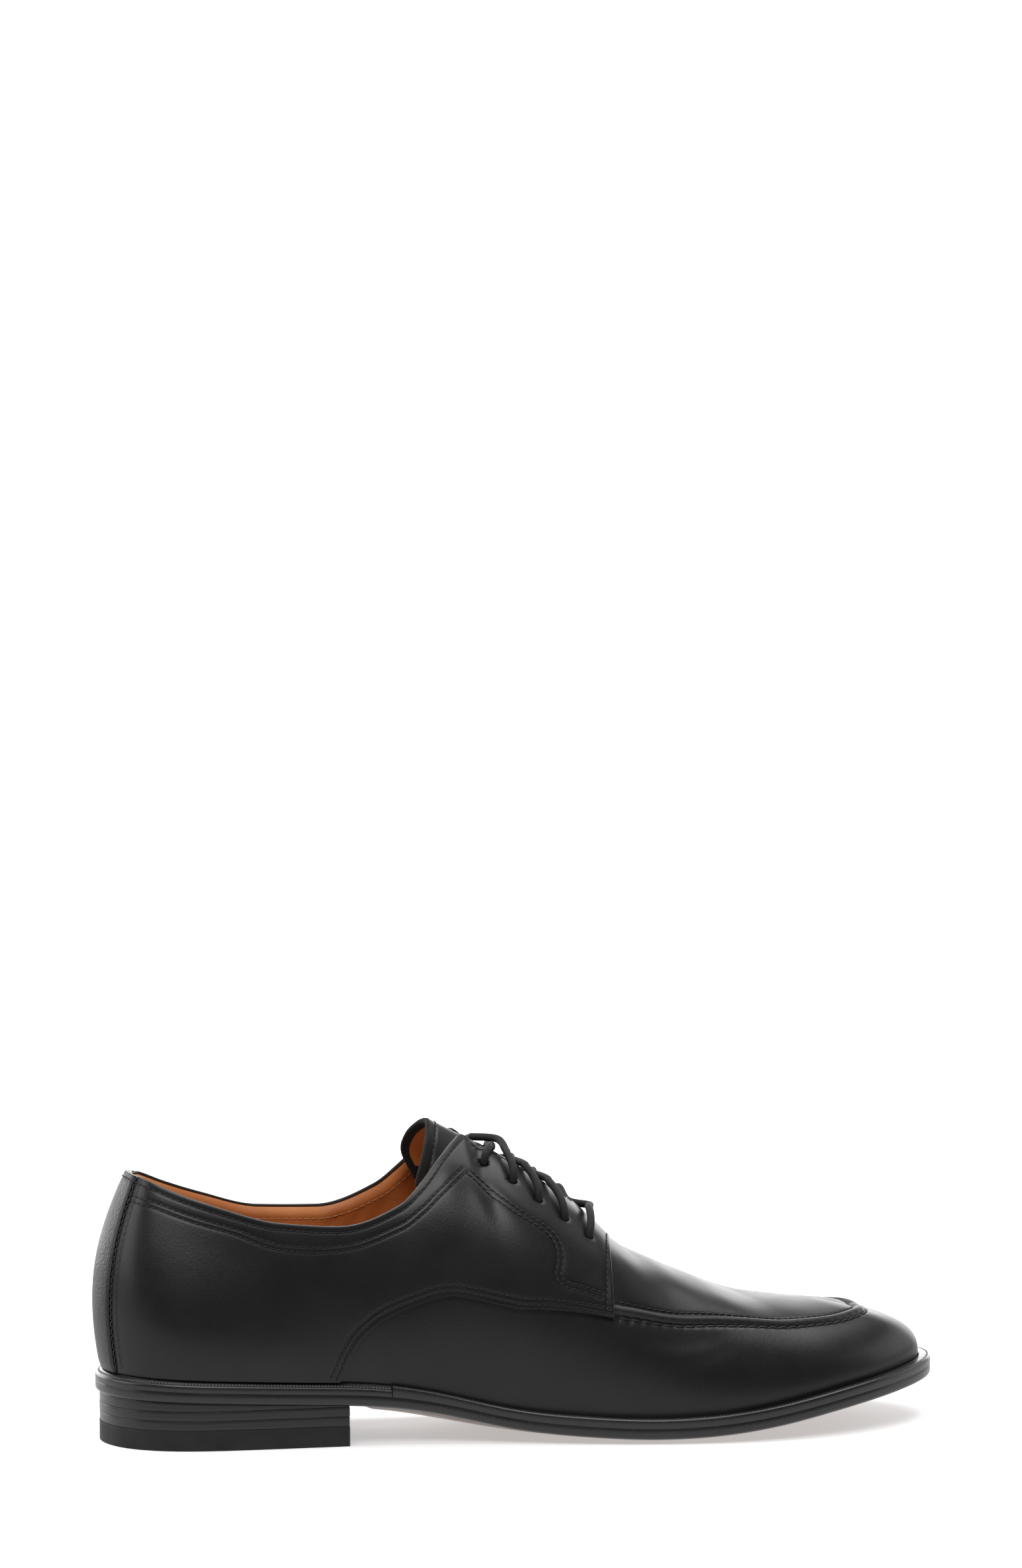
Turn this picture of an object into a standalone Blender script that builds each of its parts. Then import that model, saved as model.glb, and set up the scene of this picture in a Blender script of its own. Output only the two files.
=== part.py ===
"""Apron toe derby, right shoe. X runs from heel to toe, Y from lateral to medial, Z up from the floor."""

import math

import bmesh
import bpy
import mathutils
import numpy as np

# Driving sizes in metres
SOLE_LENGTH = 0.3060
BALL_WIDTH = 0.1060
HEEL_HEIGHT = 0.0178  # floor to the outsole's underside at the heel's back
INSTEP_HEIGHT = 0.1060  # floor to the facings' upper corners, on the lining's wall
TOE_SPRING = 0.0138  # rise of the sole's edge from ball to toe
EDGE_LIFT = 0.0016  # rise of the forefoot's edge over its middle
WAIST_CROWN = 0.0046  # how far the waist's middle hangs below its edge
HEEL_LENGTH = 0.0860
HEEL_INSET = 0.0014

OUTSOLE_EDGE = 0.0040
EDGE_ROUND = 0.0013
WELT_THICKNESS = 0.0034
WELT_REACH = 0.0046  # how far the welt stands out from the upper at the toe
RAND_HEIGHT = 0.0042
RAND_END = 5.2  # station where the rand meets the welt
JOINT_FIT = 0.006  # half the gap between them, in stations
STRIP_ROUND = 0.0008
TOP_LIFT = 0.0073
LIFT_ONE = 0.0031
LIFT_TWO = 0.0031
INSOLE_THICKNESS = 0.0030

UPPER_WALL = 0.0017
OVERLAY_WALL = 0.0013
BACKSTAY_WALL = 0.0011
BEAD_WIDTH = 0.0038
BEAD_HEIGHT = 0.0010
TONGUE_WALL = 0.0024
TONGUE_WIDTH = 0.0400
TONGUE_BULGE = 0.0018  # how far the tongue swells up between the facings
TONGUE_ROOT = 10.0  # station of the tongue's root, under the vamp
EYELET_BORE = 0.0034
LACE_DIAMETER = 0.0028
LACE_FIT = 0.0005
LACE_BOW = 0.0020  # bow of a lace that lies over a facing
LACE_SLACK = 0.0010  # how far the loose strands stand off the facings' edges
LACE_LOOP = 0.0037  # how far the top strand clears the one under it
INSIDE = mathutils.Vector((0, 0, 0.045))  # a point within the shoe

# Base colour and roughness of each material
CALF = ((0.02, 0.02, 0.021), 0.35)
BLACKED_EDGE = ((0.02, 0.018, 0.018), 0.4)
SOLE_LEATHER = ((0.30, 0.17, 0.09), 0.5)
INSOLE_LEATHER = ((0.42, 0.22, 0.10), 0.6)
RUBBER = ((0.015, 0.015, 0.016), 0.6)
CORD = ((0.012, 0.012, 0.013), 0.5)
FIT = 0.0003
LAP_FIT = 0.0005  # between the upper and a quarter
CORNER_EASE = 0.0005  # more of it round the facing's upper corner, which is bent most
TONGUE_DEPTH = 0.0011  # from the upper's inner face down to the tongue

HALF_BALL = BALL_WIDTH / 2
BACKSTAY_LIFT = LAP_FIT + OVERLAY_WALL + FIT
LAST_STATION = 15
PERIOD = 2 * LAST_STATION

# The sole's outline and height. Stations 0 to 15 run from heel to toe.
# x as a share of the sole's length, half widths of half the ball's width, then
# the rise of the heel, the rise of the toe, the edge's lift and the welt's reach.
SOLE = (
    # name, x, lateral, medial, heel rise, toe rise, edge lift, reach
    ("heel back", 0.000, 0.000, 0.000, 1.000, 0.00, 0.0, 1.05),
    ("heel corner", 0.023, 0.383, 0.383, 0.994, 0.00, 0.0, 0.96),
    ("heel side", 0.082, 0.590, 0.590, 0.966, 0.00, 0.0, 0.76),
    ("heel middle", 0.157, 0.634, 0.623, 0.912, 0.00, 0.0, 0.70),
    ("heel front", 0.235, 0.628, 0.596, 0.848, 0.00, 0.0, 0.68),
    ("waist back", 0.314, 0.626, 0.547, 0.772, 0.00, 0.0, 0.68),
    ("waist", 0.392, 0.660, 0.528, 0.540, 0.00, 0.4, 0.68),
    ("waist front", 0.471, 0.745, 0.585, 0.215, 0.00, 0.8, 0.76),
    ("joint back", 0.549, 0.858, 0.726, 0.055, 0.00, 1.0, 0.90),
    ("joint", 0.627, 0.953, 0.887, 0.000, 0.00, 1.0, 1.00),
    ("ball", 0.706, 1.000, 0.985, 0.000, 0.07, 1.0, 1.00),
    ("ball front", 0.781, 0.972, 1.000, 0.000, 0.27, 1.0, 1.00),
    ("toe root", 0.856, 0.855, 0.915, 0.000, 0.55, 1.0, 1.00),
    ("toe side", 0.925, 0.640, 0.705, 0.000, 0.77, 1.0, 1.00),
    ("toe corner", 0.980, 0.345, 0.385, 0.000, 0.94, 1.0, 1.00),
    ("toe tip", 1.000, 0.000, 0.000, 0.000, 1.00, 1.0, 1.00),
)

# How the upper's wall leaves the welt and arrives at its top edge, by station.
# Angles in degrees, handle lengths as shares of the way between the two.
WALL = (
    # name, lean out at the welt, lower handle, slope at the top, upper handle
    ("heel back", 11, 0.42, 64, 0.36),
    ("heel corner", 11, 0.42, 66, 0.36),
    ("heel side", 11, 0.40, 72, 0.36),
    ("heel middle", 9, 0.38, 77, 0.36),
    ("heel front", 7, 0.36, 79, 0.36),
    ("waist back", 6, 0.34, 78, 0.38),
    ("waist", 5, 0.33, 72, 0.38),
    ("waist front", 5, 0.32, 46, 0.36),
    ("joint back", 5, 0.30, 0, 0.37),
    ("joint", 6, 0.30, 0, 0.40),
    ("ball", 7, 0.29, 0, 0.42),
    ("ball front", 8, 0.29, 0, 0.45),
    ("toe root", 8, 0.30, 0, 0.47),
    ("toe side", 7, 0.31, 0, 0.47),
    ("toe corner", 5, 0.32, 0, 0.50),
    ("toe tip", 4, 0.32, 0, 0.51),
)

# Where the upper's form ends: the topline up to the facing's corner, then the last's ridge.
# x as a share of the sole's length, y of half the ball's width, z of the instep height.
TOP_EDGE = (
    # station, x, lateral y, medial y, lateral z, medial z
    (0.00, 0.0458, 0.000, 0.000, 0.894, 0.894),
    (1.00, 0.0572, 0.208, 0.208, 0.880, 0.882),
    (2.00, 0.0882, 0.321, 0.321, 0.840, 0.842),
    (3.00, 0.1370, 0.406, 0.406, 0.792, 0.793),
    (4.00, 0.2030, 0.477, 0.477, 0.742, 0.744),
    (5.00, 0.2745, 0.500, 0.495, 0.728, 0.738),
    (6.00, 0.3430, 0.462, 0.455, 0.789, 0.806),
    (6.50, 0.3710, 0.415, 0.410, 0.858, 0.872),
    (6.85, 0.3960, 0.335, 0.335, 0.938, 0.946),
    (7.10, 0.4130, 0.235, 0.235, 0.984, 0.988),
    (7.35, 0.4300, 0.110, 0.110, 1.007, 1.008),
    (7.60, 0.4510, 0.000, 0.000, 0.980, 0.980),
    (8.00, 0.4820, 0.000, 0.000, 0.913, 0.913),
    (8.50, 0.5200, 0.000, 0.000, 0.839, 0.839),
    (9.00, 0.5560, 0.000, 0.000, 0.766, 0.766),
    (9.50, 0.5915, 0.000, 0.000, 0.678, 0.678),
    (10.0, 0.6260, 0.000, 0.000, 0.606, 0.606),
    (10.5, 0.6600, 0.000, 0.000, 0.560, 0.560),
    (11.0, 0.6960, 0.000, 0.000, 0.515, 0.515),
    (12.0, 0.7610, 0.000, 0.000, 0.444, 0.444),
    (13.0, 0.8170, 0.000, 0.000, 0.419, 0.419),
    (14.0, 0.8560, 0.000, 0.000, 0.408, 0.408),
    (15.0, 0.8760, 0.000, 0.000, 0.396, 0.396),
)
FACING_STATION = 7.0  # the facings lie past this station
RIDGE_STATION = 7.6  # the ridge starts here
RIDGE_STEP = 0.2  # stations over which its slope is read
THROAT_STATION = 9.6  # and the throat's opening ends here
THROAT_ROUNDING = 0.45  # stations over which the opening narrows to its end
FACING_GAP = 0.0170  # between the two facings

# The raised apron seam's outer foot, as a share of the way up the wall, by station
APRON_SEAM = (
    (8.8, 0.375), (9.45, 0.400), (10.3, 0.455), (11.2, 0.500), (12.0, 0.520), (12.6, 0.532),
    (13.15, 0.560), (13.75, 0.620), (14.4, 0.710), (15.0, 0.772),
)
SEAM_START = 8.84  # where it comes out from under the quarter

# The quarter's lower edge, as a share of the way up the wall, from its foot
# behind the waist to its front corner, by station
QUARTER_EDGE = (
    (4.42, 0.000), (4.65, 0.170), (4.90, 0.305), (5.30, 0.425), (5.70, 0.480), (6.15, 0.505),
    (6.45, 0.495), (6.75, 0.455), (7.10, 0.410), (7.45, 0.368), (7.90, 0.344), (8.75, 0.352),
)
QUARTER_FOOT = 4.42
# The quarter's front edge, from its lower corner to the facing's edge: station and share
FRONT_LOW = (8.75, 0.352)
FRONT_HIGH = (9.65, 0.920)
FRONT_ROUNDING = 0.07  # how far the facing's front upper corner is cut back, in share
FRONT_LEANS_FROM = 7.2  # station from which the quarter's sections lean to its front edge
FRONT_SECTIONS = (7.42, 7.60, 7.76, 7.92, 8.08, 8.24, 8.40, 8.56, 8.66, 8.75)
BACKSTAY_EDGE = 0.70  # station of the backstay's side edges
OVERLAY_FOOT = 0.010  # share up the wall that clears a quarter from the rand
BACKSTAY_FOOT = 0.017
BACK_SEAM = 0.014  # station where a quarter starts, beside the back seam

# The eyelets on the facing, from the top one down: station and share
EYELET_PLACES = ((7.62, 0.825), (7.97, 0.765), (8.29, 0.725), (8.64, 0.700), (8.95, 0.668))

# The tongue's free end: half width, and x and z of its foot and of its arch's top
TONGUE_END = {"half_width": 0.0160, "foot_x": 0.1130, "foot_z": 0.0905, "top_x": 0.1200, "top_z": 0.1122}

# The stations that every piece has a section at, besides the heel's breast
SECTIONS = (
    0, 0.35, 0.7, 1.1, 1.6, 2.1, 2.6, 3.1, 3.6, 4.1, 4.8, 5.1, 5.5, 6, 6.3, 6.6, 6.85, 7, 7.1, 7.2, 7.35, 7.65,
    8, 8.4, 8.84, 9.05, 9.22, 9.4, 9.55, 9.65, 10, 10.5, 11, 11.5, 12, 12.4, 12.8, 13.2, 13.6, 14, 14.4, 14.7, 15,
)


def ring_spline(values):
    """A smooth closed curve through values at whole stations, as a function of the station."""
    values = np.asarray(values, float)
    count = len(values)
    steps = np.arange(count)
    matrix = 4 * np.eye(count) + np.roll(np.eye(count), 1, 1) + np.roll(np.eye(count), -1, 1)
    bend = np.linalg.solve(matrix, 6 * (np.roll(values, -1) - 2 * values + np.roll(values, 1)))

    def at(station):
        station = np.mod(np.asarray(station, float), count)
        low = np.minimum(station.astype(int), count - 1)
        high = (low + 1) % count
        b = station - steps[low]
        a = 1 - b
        curve = (a**3 - a) * bend[low] + (b**3 - b) * bend[high]
        return a * values[low] + b * values[high] + curve / 6

    return at


def eased(knots, values):
    """A curve through values that never overshoots, level at both ends, as a function of the station."""
    knots, values = np.asarray(knots, float), np.asarray(values, float)
    widths = np.diff(knots)
    slopes = np.diff(values) / widths
    tangents = np.zeros(len(knots))
    same_way = slopes[:-1] * slopes[1:] > 0
    left, right = slopes[:-1][same_way], slopes[1:][same_way]
    near, far = widths[:-1][same_way], widths[1:][same_way]
    first, second = 2 * far + near, far + 2 * near
    tangents[1:-1][same_way] = (first + second) / (first / left + second / right)

    def at(station):
        station = np.clip(station, knots[0], knots[-1])
        low = np.clip(np.searchsorted(knots, station, side="right") - 1, 0, len(widths) - 1)
        span = widths[low]
        b = (station - knots[low]) / span
        a = 1 - b
        ends = a * a * (1 + 2 * b) * values[low] + b * b * (1 + 2 * a) * values[low + 1]
        return ends + a * b * span * (a * tangents[low] - b * tangents[low + 1])

    return at


def both_sides(lateral, medial):
    """One ring of values: lateral from heel to toe, then medial back to the heel."""
    return list(lateral) + list(medial)[-2:0:-1]


def column(table, index):
    return [row[index] for row in table]


def even_ring(table, index):
    return ring_spline(both_sides(column(table, index), column(table, index)))


EDGE_X = even_ring(SOLE, 1)
EDGE_Y = ring_spline(both_sides([-w for w in column(SOLE, 2)], column(SOLE, 3)))
HEEL_RISE = even_ring(SOLE, 4)
TOE_RISE = even_ring(SOLE, 5)
LIFTED = even_ring(SOLE, 6)
REACH = even_ring(SOLE, 7)
WHOLE_STATIONS = list(range(LAST_STATION + 1))
LEAN = eased(WHOLE_STATIONS, column(WALL, 1))
LOWER_HANDLE = eased(WHOLE_STATIONS, column(WALL, 2))
TOP_SLOPE = eased(WHOLE_STATIONS, column(WALL, 3))
UPPER_HANDLE = eased(WHOLE_STATIONS, column(WALL, 4))
TOP_KNOTS = column(TOP_EDGE, 0)
TOP_X = eased(TOP_KNOTS, column(TOP_EDGE, 1))
TOP_Y = {-1: eased(TOP_KNOTS, column(TOP_EDGE, 2)), 1: eased(TOP_KNOTS, column(TOP_EDGE, 3))}
TOP_Z = {-1: eased(TOP_KNOTS, column(TOP_EDGE, 4)), 1: eased(TOP_KNOTS, column(TOP_EDGE, 5))}
SEAM = eased(*zip(*APRON_SEAM))
QUARTER_LOW = eased(*zip(*QUARTER_EDGE))


def smooth_step(value):
    value = np.clip(value, 0, 1)
    return value * value * (3 - 2 * value)


def ring_place(side, station):
    """The place on the ring of stations: the lateral side is -1 and the medial side 1."""
    return np.where(np.asarray(side) < 0, station, PERIOD - np.asarray(station, float))


def sole_edge(side, station, inset=0.0):
    """Plan point of the sole's outline, moved inwards square to it."""
    place = ring_place(side, station)
    step = 1e-3

    def outline(at):
        return np.stack([EDGE_X(at) * SOLE_LENGTH, EDGE_Y(at) * HALF_BALL], -1)

    along = outline(place + step) - outline(place - step)
    along /= np.linalg.norm(along, axis=-1, keepdims=True)
    outward = np.stack([along[..., 1], -along[..., 0]], -1)
    return outline(place) - outward * np.asarray(inset)[..., None], outward


def edge_bottom(station):
    """Height of the sole's lower edge."""
    return HEEL_RISE(station) * HEEL_HEIGHT + TOE_RISE(station) * TOE_SPRING + LIFTED(station) * EDGE_LIFT


def seat_height(station):
    """Height of the outsole's upper face, which welt, upper and insole stand on."""
    return edge_bottom(station) + OUTSOLE_EDGE


def rim_height(station):
    """Height of the rand, and past it of the welt, over the outsole."""
    past_joint = smooth_step((np.asarray(station) - RAND_END + 0.5) / 2)
    return RAND_HEIGHT + (WELT_THICKNESS - RAND_HEIGHT) * past_joint


def crown(station, inward):
    """How far the sole's underside hangs below its edge, at a share of the way in."""
    past_breast = (EDGE_X(station) * SOLE_LENGTH - HEEL_LENGTH) / 0.010
    waist = smooth_step(past_breast) * (1 - smooth_step((np.asarray(station) - 5.5) / 3.0))
    depth = WAIST_CROWN * waist + 1.25 * EDGE_LIFT * LIFTED(station)
    return depth * (1 - (1 - inward) ** 2)


def axis_point(station):
    """Plan point on the sole's long axis that a station's rows run in to."""
    x = EDGE_X(station) * SOLE_LENGTH
    heel, toe = 0.085 * SOLE_LENGTH, 0.905 * SOLE_LENGTH
    soft = 0.030
    x = heel + soft * np.logaddexp(0, (x - heel) / soft)
    x = toe - soft * np.logaddexp(0, (toe - x) / soft)
    return np.stack([x, np.zeros_like(x)], -1)


def feather(side, station, inset=0.0):
    """Plan point where the upper's outer face meets the sole."""
    return sole_edge(side, station, REACH(station) * WELT_REACH + inset)


def top_edge(side, station):
    side = np.asarray(side)
    y = np.where(side < 0, -TOP_Y[-1](station), TOP_Y[1](station)) * HALF_BALL
    z = np.where(side < 0, TOP_Z[-1](station), TOP_Z[1](station)) * INSTEP_HEIGHT
    return np.stack([TOP_X(station) * SOLE_LENGTH, y, z], -1)


def wall_point(side, station, rise):
    """Point of the upper's outer face: rise is 0 at the welt and 1 at the top edge."""
    side, station, rise = np.broadcast_arrays(side, np.asarray(station, float), np.asarray(rise, float))
    plan, outward = feather(side, station)
    low = np.concatenate([plan, (seat_height(station) + rim_height(station))[..., None]], -1)
    high = top_edge(side, station)
    reach = np.linalg.norm(high - low, axis=-1)[..., None]
    out = np.concatenate([outward, np.zeros_like(outward[..., :1])], -1)
    up = np.array([0, 0, 1.0])
    lean, slope = np.radians(LEAN(station))[..., None], np.radians(TOP_SLOPE(station))[..., None]
    ahead, behind = top_edge(side, station + RIDGE_STEP), top_edge(side, station - RIDGE_STEP)
    ridge = (ahead - behind)[..., 2] / (ahead - behind)[..., 0]
    closed = smooth_step((station - 7.1) / (RIDGE_STATION - 7.1))
    fall = (closed * np.clip(ridge, -1, 0) * out[..., 0])[..., None]
    first = low + reach * LOWER_HANDLE(station)[..., None] * (out * np.sin(lean) + up * np.cos(lean))
    arrive = out * np.cos(slope) + up * (fall - np.sin(slope))
    second = high + reach * UPPER_HANDLE(station)[..., None] * arrive
    t = rise[..., None]
    s = 1 - t
    return s**3 * low + 3 * s * s * t * first + 3 * s * t * t * second + t**3 * high


def wall_normal(side, station, rise):
    """Unit normal of that face, pointing out."""
    step = 2e-3
    side, station, rise = np.broadcast_arrays(side, np.asarray(station, float), np.asarray(rise, float))
    ridge = rise > 0.999
    rise = np.where(ridge, 0.98, rise)
    before = np.clip(station - step, 0, LAST_STATION)
    after = np.clip(station + step, 0, LAST_STATION)
    along = wall_point(side, after, rise) - wall_point(side, before, rise)
    climb = wall_point(side, station, rise + step) - wall_point(side, station, rise - step)
    normal = np.cross(climb, along) * np.where(np.asarray(side) < 0, -1, 1)[..., None]
    on_axis = (station < step) | (station > LAST_STATION - step) | (ridge & (station >= RIDGE_STATION))
    normal[..., 1] = np.where(on_axis, 0, normal[..., 1])
    return normal / np.linalg.norm(normal, axis=-1, keepdims=True)


def lifted(side, station, rise, lift):
    """Point of the upper's outer face moved out by a lift."""
    return wall_point(side, station, rise) + wall_normal(side, station, rise) * np.asarray(lift)[..., None]


def share_at_width(side, station, width):
    """Share up the wall at which it comes this near to the long axis, or 1 where it never does."""
    side, station, width = np.broadcast_arrays(side, np.asarray(station, float), np.asarray(width, float))
    low, high = np.full(station.shape, 0.5), np.ones(station.shape)
    for _ in range(26):
        middle = (low + high) / 2
        wide = np.abs(wall_point(side, station, middle)[..., 1]) > width
        low, high = np.where(wide, middle, low), np.where(wide, high, middle)
    return np.where((high > 0.9999) | (station < FACING_STATION), 1.0, high)


def throat_share(side, station):
    """Share up the wall of the upper's edge: the topline, the throat's edge, then the ridge."""
    narrowing = smooth_step((np.asarray(station) - THROAT_STATION + THROAT_ROUNDING) / THROAT_ROUNDING)
    width = FACING_GAP / 2 * np.sqrt(1 - narrowing)
    share = share_at_width(side, station, width)
    return np.where(np.asarray(station) >= THROAT_STATION, 1.0, share)


def back_of_shoe():
    """How far behind the sole's back the backstay stands, as a negative x, or 0."""
    rise = np.linspace(0, 1, 41)
    lift = np.full(rise.shape, BACKSTAY_LIFT + BACKSTAY_WALL)
    return min(0.0, lifted(-1.0, 0.0, rise, lift)[:, 0].min())


ORIGIN_X = (SOLE_LENGTH + back_of_shoe()) / 2


def to_world(points):
    return np.asarray(points, float) - np.array([ORIGIN_X, 0, 0])


def finish(name, bm, look):
    """Makes the bmesh an object of the shoe's collection, with a material of its own."""
    colour, roughness = look
    bmesh.ops.remove_doubles(bm, verts=bm.verts, dist=2e-6)
    mesh = bpy.data.meshes.new(name)
    bm.to_mesh(mesh)
    bm.free()
    mesh.shade_smooth()
    mesh.set_sharp_from_angle(angle=math.radians(40))
    obj = bpy.data.objects.new(name, mesh)
    SHOE.objects.link(obj)
    material = bpy.data.materials.new(name)
    material.use_nodes = True
    shader = material.node_tree.nodes["Principled BSDF"]
    shader.inputs["Base Color"].default_value = (*colour, 1)
    shader.inputs["Roughness"].default_value = roughness
    mesh.materials.append(material)
    return obj


def grid_faces(bm, rows, closed=False):
    """Quads between neighbouring rows of points. Returns the vertices by row."""
    made = [[bm.verts.new(point) for point in to_world(row)] for row in rows]
    for low, high in zip(made, made[1:]):
        pairs = list(zip(low, high))
        if closed:
            pairs.append(pairs[0])
        for (a, d), (b, c) in zip(pairs, pairs[1:]):
            bm.faces.new((a, b, c, d))
    return made


def ladder(bm, ring, upwards):
    """Closes a ring of vertices with quads from its lateral to its medial half."""
    count = len(ring)
    for i in range(count // 2):
        corners = [ring[i], ring[(i + 1) % count], ring[(-i - 1) % count], ring[-i % count]]
        corners = list(dict.fromkeys(corners))
        if len(corners) > 2:
            bm.faces.new(corners if upwards else corners[::-1])


def breast_station():
    """The station whose outline lies on the heel's breast."""
    low, high = 3.0, 6.0
    for _ in range(40):
        middle = (low + high) / 2
        if EDGE_X(middle) * SOLE_LENGTH < HEEL_LENGTH:
            low = middle
        else:
            high = middle
    return low


BREAST = breast_station()
STATIONS = sorted([station for station in SECTIONS if abs(station - BREAST) > 0.1] + [BREAST])


def whole_ring():
    """Sides and stations once round, from the heel along the lateral side to the toe and back."""
    side = [-1.0] * len(STATIONS) + [1.0] * (len(STATIONS) - 2)
    return np.array(side), np.array(STATIONS + STATIONS[-2:0:-1])


def half_ring(first, last):
    """Sides and stations from one station on the lateral side, over the heel or toe, to its twin."""
    inside = [station for station in STATIONS if min(first, last) + 0.05 < station < max(first, last) - 0.05]
    lateral = [first] + (inside if first < last else inside[::-1]) + [last]
    side = [-1.0] * len(lateral) + [1.0] * (len(lateral) - 1)
    return np.array(side), np.array(lateral + lateral[-2::-1])


def flat_ring(plan, height):
    height = np.broadcast_to(height, plan.shape[:-1])
    return np.concatenate([plan, height[..., None]], -1)


def outsole():
    side, station = whole_ring()
    edge = edge_bottom(station)
    outline = sole_edge(side, station)[0]
    rings = [
        flat_ring(outline, edge + OUTSOLE_EDGE),
        flat_ring(outline, edge + EDGE_ROUND),
        flat_ring(sole_edge(side, station, EDGE_ROUND)[0], edge),
    ]
    inner = rings[-1][:, :2]
    for inward in (0.22, 0.5, 0.8):
        plan = inner + (axis_point(station) - inner) * inward
        rings.append(flat_ring(plan, np.maximum(edge - crown(station, inward), 0)))
    bm = bmesh.new()
    made = grid_faces(bm, rings, closed=True)
    ladder(bm, made[0], True)
    ladder(bm, made[-1], False)
    bmesh.ops.recalc_face_normals(bm, faces=bm.faces)
    return finish("outsole", bm, SOLE_LEATHER)


def heel_layer(name, bottom, top, look):
    """One layer of the heel between two heights, each a number or a function of the station."""
    side, station = half_ring(BREAST, 0.0)
    plan = sole_edge(side, station, HEEL_INSET)[0]
    plan[:, 0] = np.minimum(plan[:, 0], HEEL_LENGTH)
    rows = []
    for height in (bottom, top):
        z = height(station) if callable(height) else height
        rows.append(flat_ring(plan, z))
    bm = bmesh.new()
    made = grid_faces(bm, rows, closed=True)
    for ring, upwards in ((made[0], False), (made[1], True)):
        for i in range(len(ring) // 2):
            corners = list(dict.fromkeys([ring[i], ring[i + 1], ring[-i - 2], ring[-i - 1]]))
            if len(corners) > 2:
                bm.faces.new(corners if upwards else corners[::-1])
    bmesh.ops.recalc_face_normals(bm, faces=bm.faces)
    return finish(name, bm, look)


def heel_stack():
    one = TOP_LIFT + FIT
    two = one + LIFT_ONE + FIT
    wedge = two + LIFT_TWO + FIT
    heel_layer("top_lift", 0.0, TOP_LIFT, RUBBER)
    heel_layer("heel_lift_1", one, one + LIFT_ONE, BLACKED_EDGE)
    heel_layer("heel_lift_2", two, two + LIFT_TWO, BLACKED_EDGE)
    heel_layer("heel_wedge", wedge, lambda s: edge_bottom(s) - FIT, BLACKED_EDGE)


def edge_strip(name, first, last):
    """A strip on the outsole's edge, outside the upper, from one station round to its twin."""
    side, station = half_ring(first, last)
    seat = seat_height(station) + FIT
    top = seat_height(station) + rim_height(station)
    outer = sole_edge(side, station)[0]
    inner = feather(side, station, -FIT)[0]
    shoulder = sole_edge(side, station, STRIP_ROUND)[0]
    rows = [flat_ring(inner, seat), flat_ring(outer, seat), flat_ring(outer, top - STRIP_ROUND)]
    rows += [flat_ring(shoulder, top), flat_ring(inner, top)]
    bm = bmesh.new()
    made = grid_faces(bm, rows + rows[:1])
    bm.faces.new([row[0] for row in made[:-1]])
    bm.faces.new([row[-1] for row in made[:-1]])
    bmesh.ops.remove_doubles(bm, verts=bm.verts, dist=2e-6)
    bmesh.ops.recalc_face_normals(bm, faces=bm.faces)
    return finish(name, bm, BLACKED_EDGE)


def insole():
    side, station = whole_ring()
    plan = feather(side, station, UPPER_WALL + FIT)[0]
    low = seat_height(station) + FIT
    rows = [flat_ring(plan, low), flat_ring(plan, low + INSOLE_THICKNESS)]
    bm = bmesh.new()
    made = grid_faces(bm, rows, closed=True)
    ladder(bm, made[0], False)
    ladder(bm, made[1], True)
    bmesh.ops.recalc_face_normals(bm, faces=bm.faces)
    return finish("insole", bm, INSOLE_LEATHER)


def bead_rows(side, station):
    """Shares up the wall of the apron seam's two feet and of its flat top's two edges."""
    foot = SEAM(station)
    step = 1e-3
    climb = wall_point(side, station, foot + step) - wall_point(side, station, foot - step)
    width = BEAD_WIDTH / (np.linalg.norm(climb, axis=-1) / (2 * step))
    return foot, foot + 0.25 * width, foot + 0.75 * width, foot + width


def upper():
    side, station = whole_ring()
    plan = feather(side, station)[0]
    rows = [flat_ring(plan, seat_height(station) + FIT)]
    foot, edge_low, edge_high, head = bead_rows(side, station)
    raised = BEAD_HEIGHT * smooth_step((station - SEAM_START) / 0.35)
    levels = [(foot * share, 0) for share in (0, 0.2, 0.45, 0.72)]
    levels += [(foot, 0), (edge_low, 1), (edge_high, 1), (head, 0)]
    top = throat_share(side, station)
    levels += [(head + (top - head) * share, 0) for share in (0.28, 0.56, 0.80, 1.0)]
    for rise, on_bead in levels:
        rows.append(lifted(side, station, rise, raised * on_bead))
    bm = bmesh.new()
    grid_faces(bm, rows, closed=True)
    bmesh.ops.remove_doubles(bm, verts=bm.verts, dist=2e-6)
    bmesh.ops.recalc_face_normals(bm, faces=bm.faces)
    obj = finish("upper", bm, CALF)
    thicken(obj, UPPER_WALL, -1)
    punch(obj)
    return obj


def sheet(name, side, station, rise, lift, wall):
    """A wall of even thickness over a patch of the upper. All arrays have a row for each section."""
    rows = lifted(side, station, rise, np.broadcast_to(lift, np.shape(station)))
    bm = bmesh.new()
    grid_faces(bm, rows)
    middle = [face.calc_center_median() for face in bm.faces]
    bmesh.ops.recalc_face_normals(bm, faces=bm.faces)
    bm.normal_update()
    ahead = sum(face.normal.dot(centre - INSIDE) for face, centre in zip(bm.faces, middle))
    if ahead < 0:
        bmesh.ops.reverse_faces(bm, faces=bm.faces)
    obj = finish(name, bm, CALF)
    thicken(obj, wall, 1)
    return obj


def quarter_station(column_station, rise):
    """Station of a quarter's section at a share up the wall: the last sections lean to the front edge."""
    share = np.clip((column_station - FRONT_LEANS_FROM) / (FRONT_LOW[0] - FRONT_LEANS_FROM), 0, 1)
    lean = (FRONT_HIGH[0] - FRONT_LOW[0]) / (FRONT_HIGH[1] - FRONT_LOW[1])
    return column_station + share * lean * (rise - FRONT_LOW[1])


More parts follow.
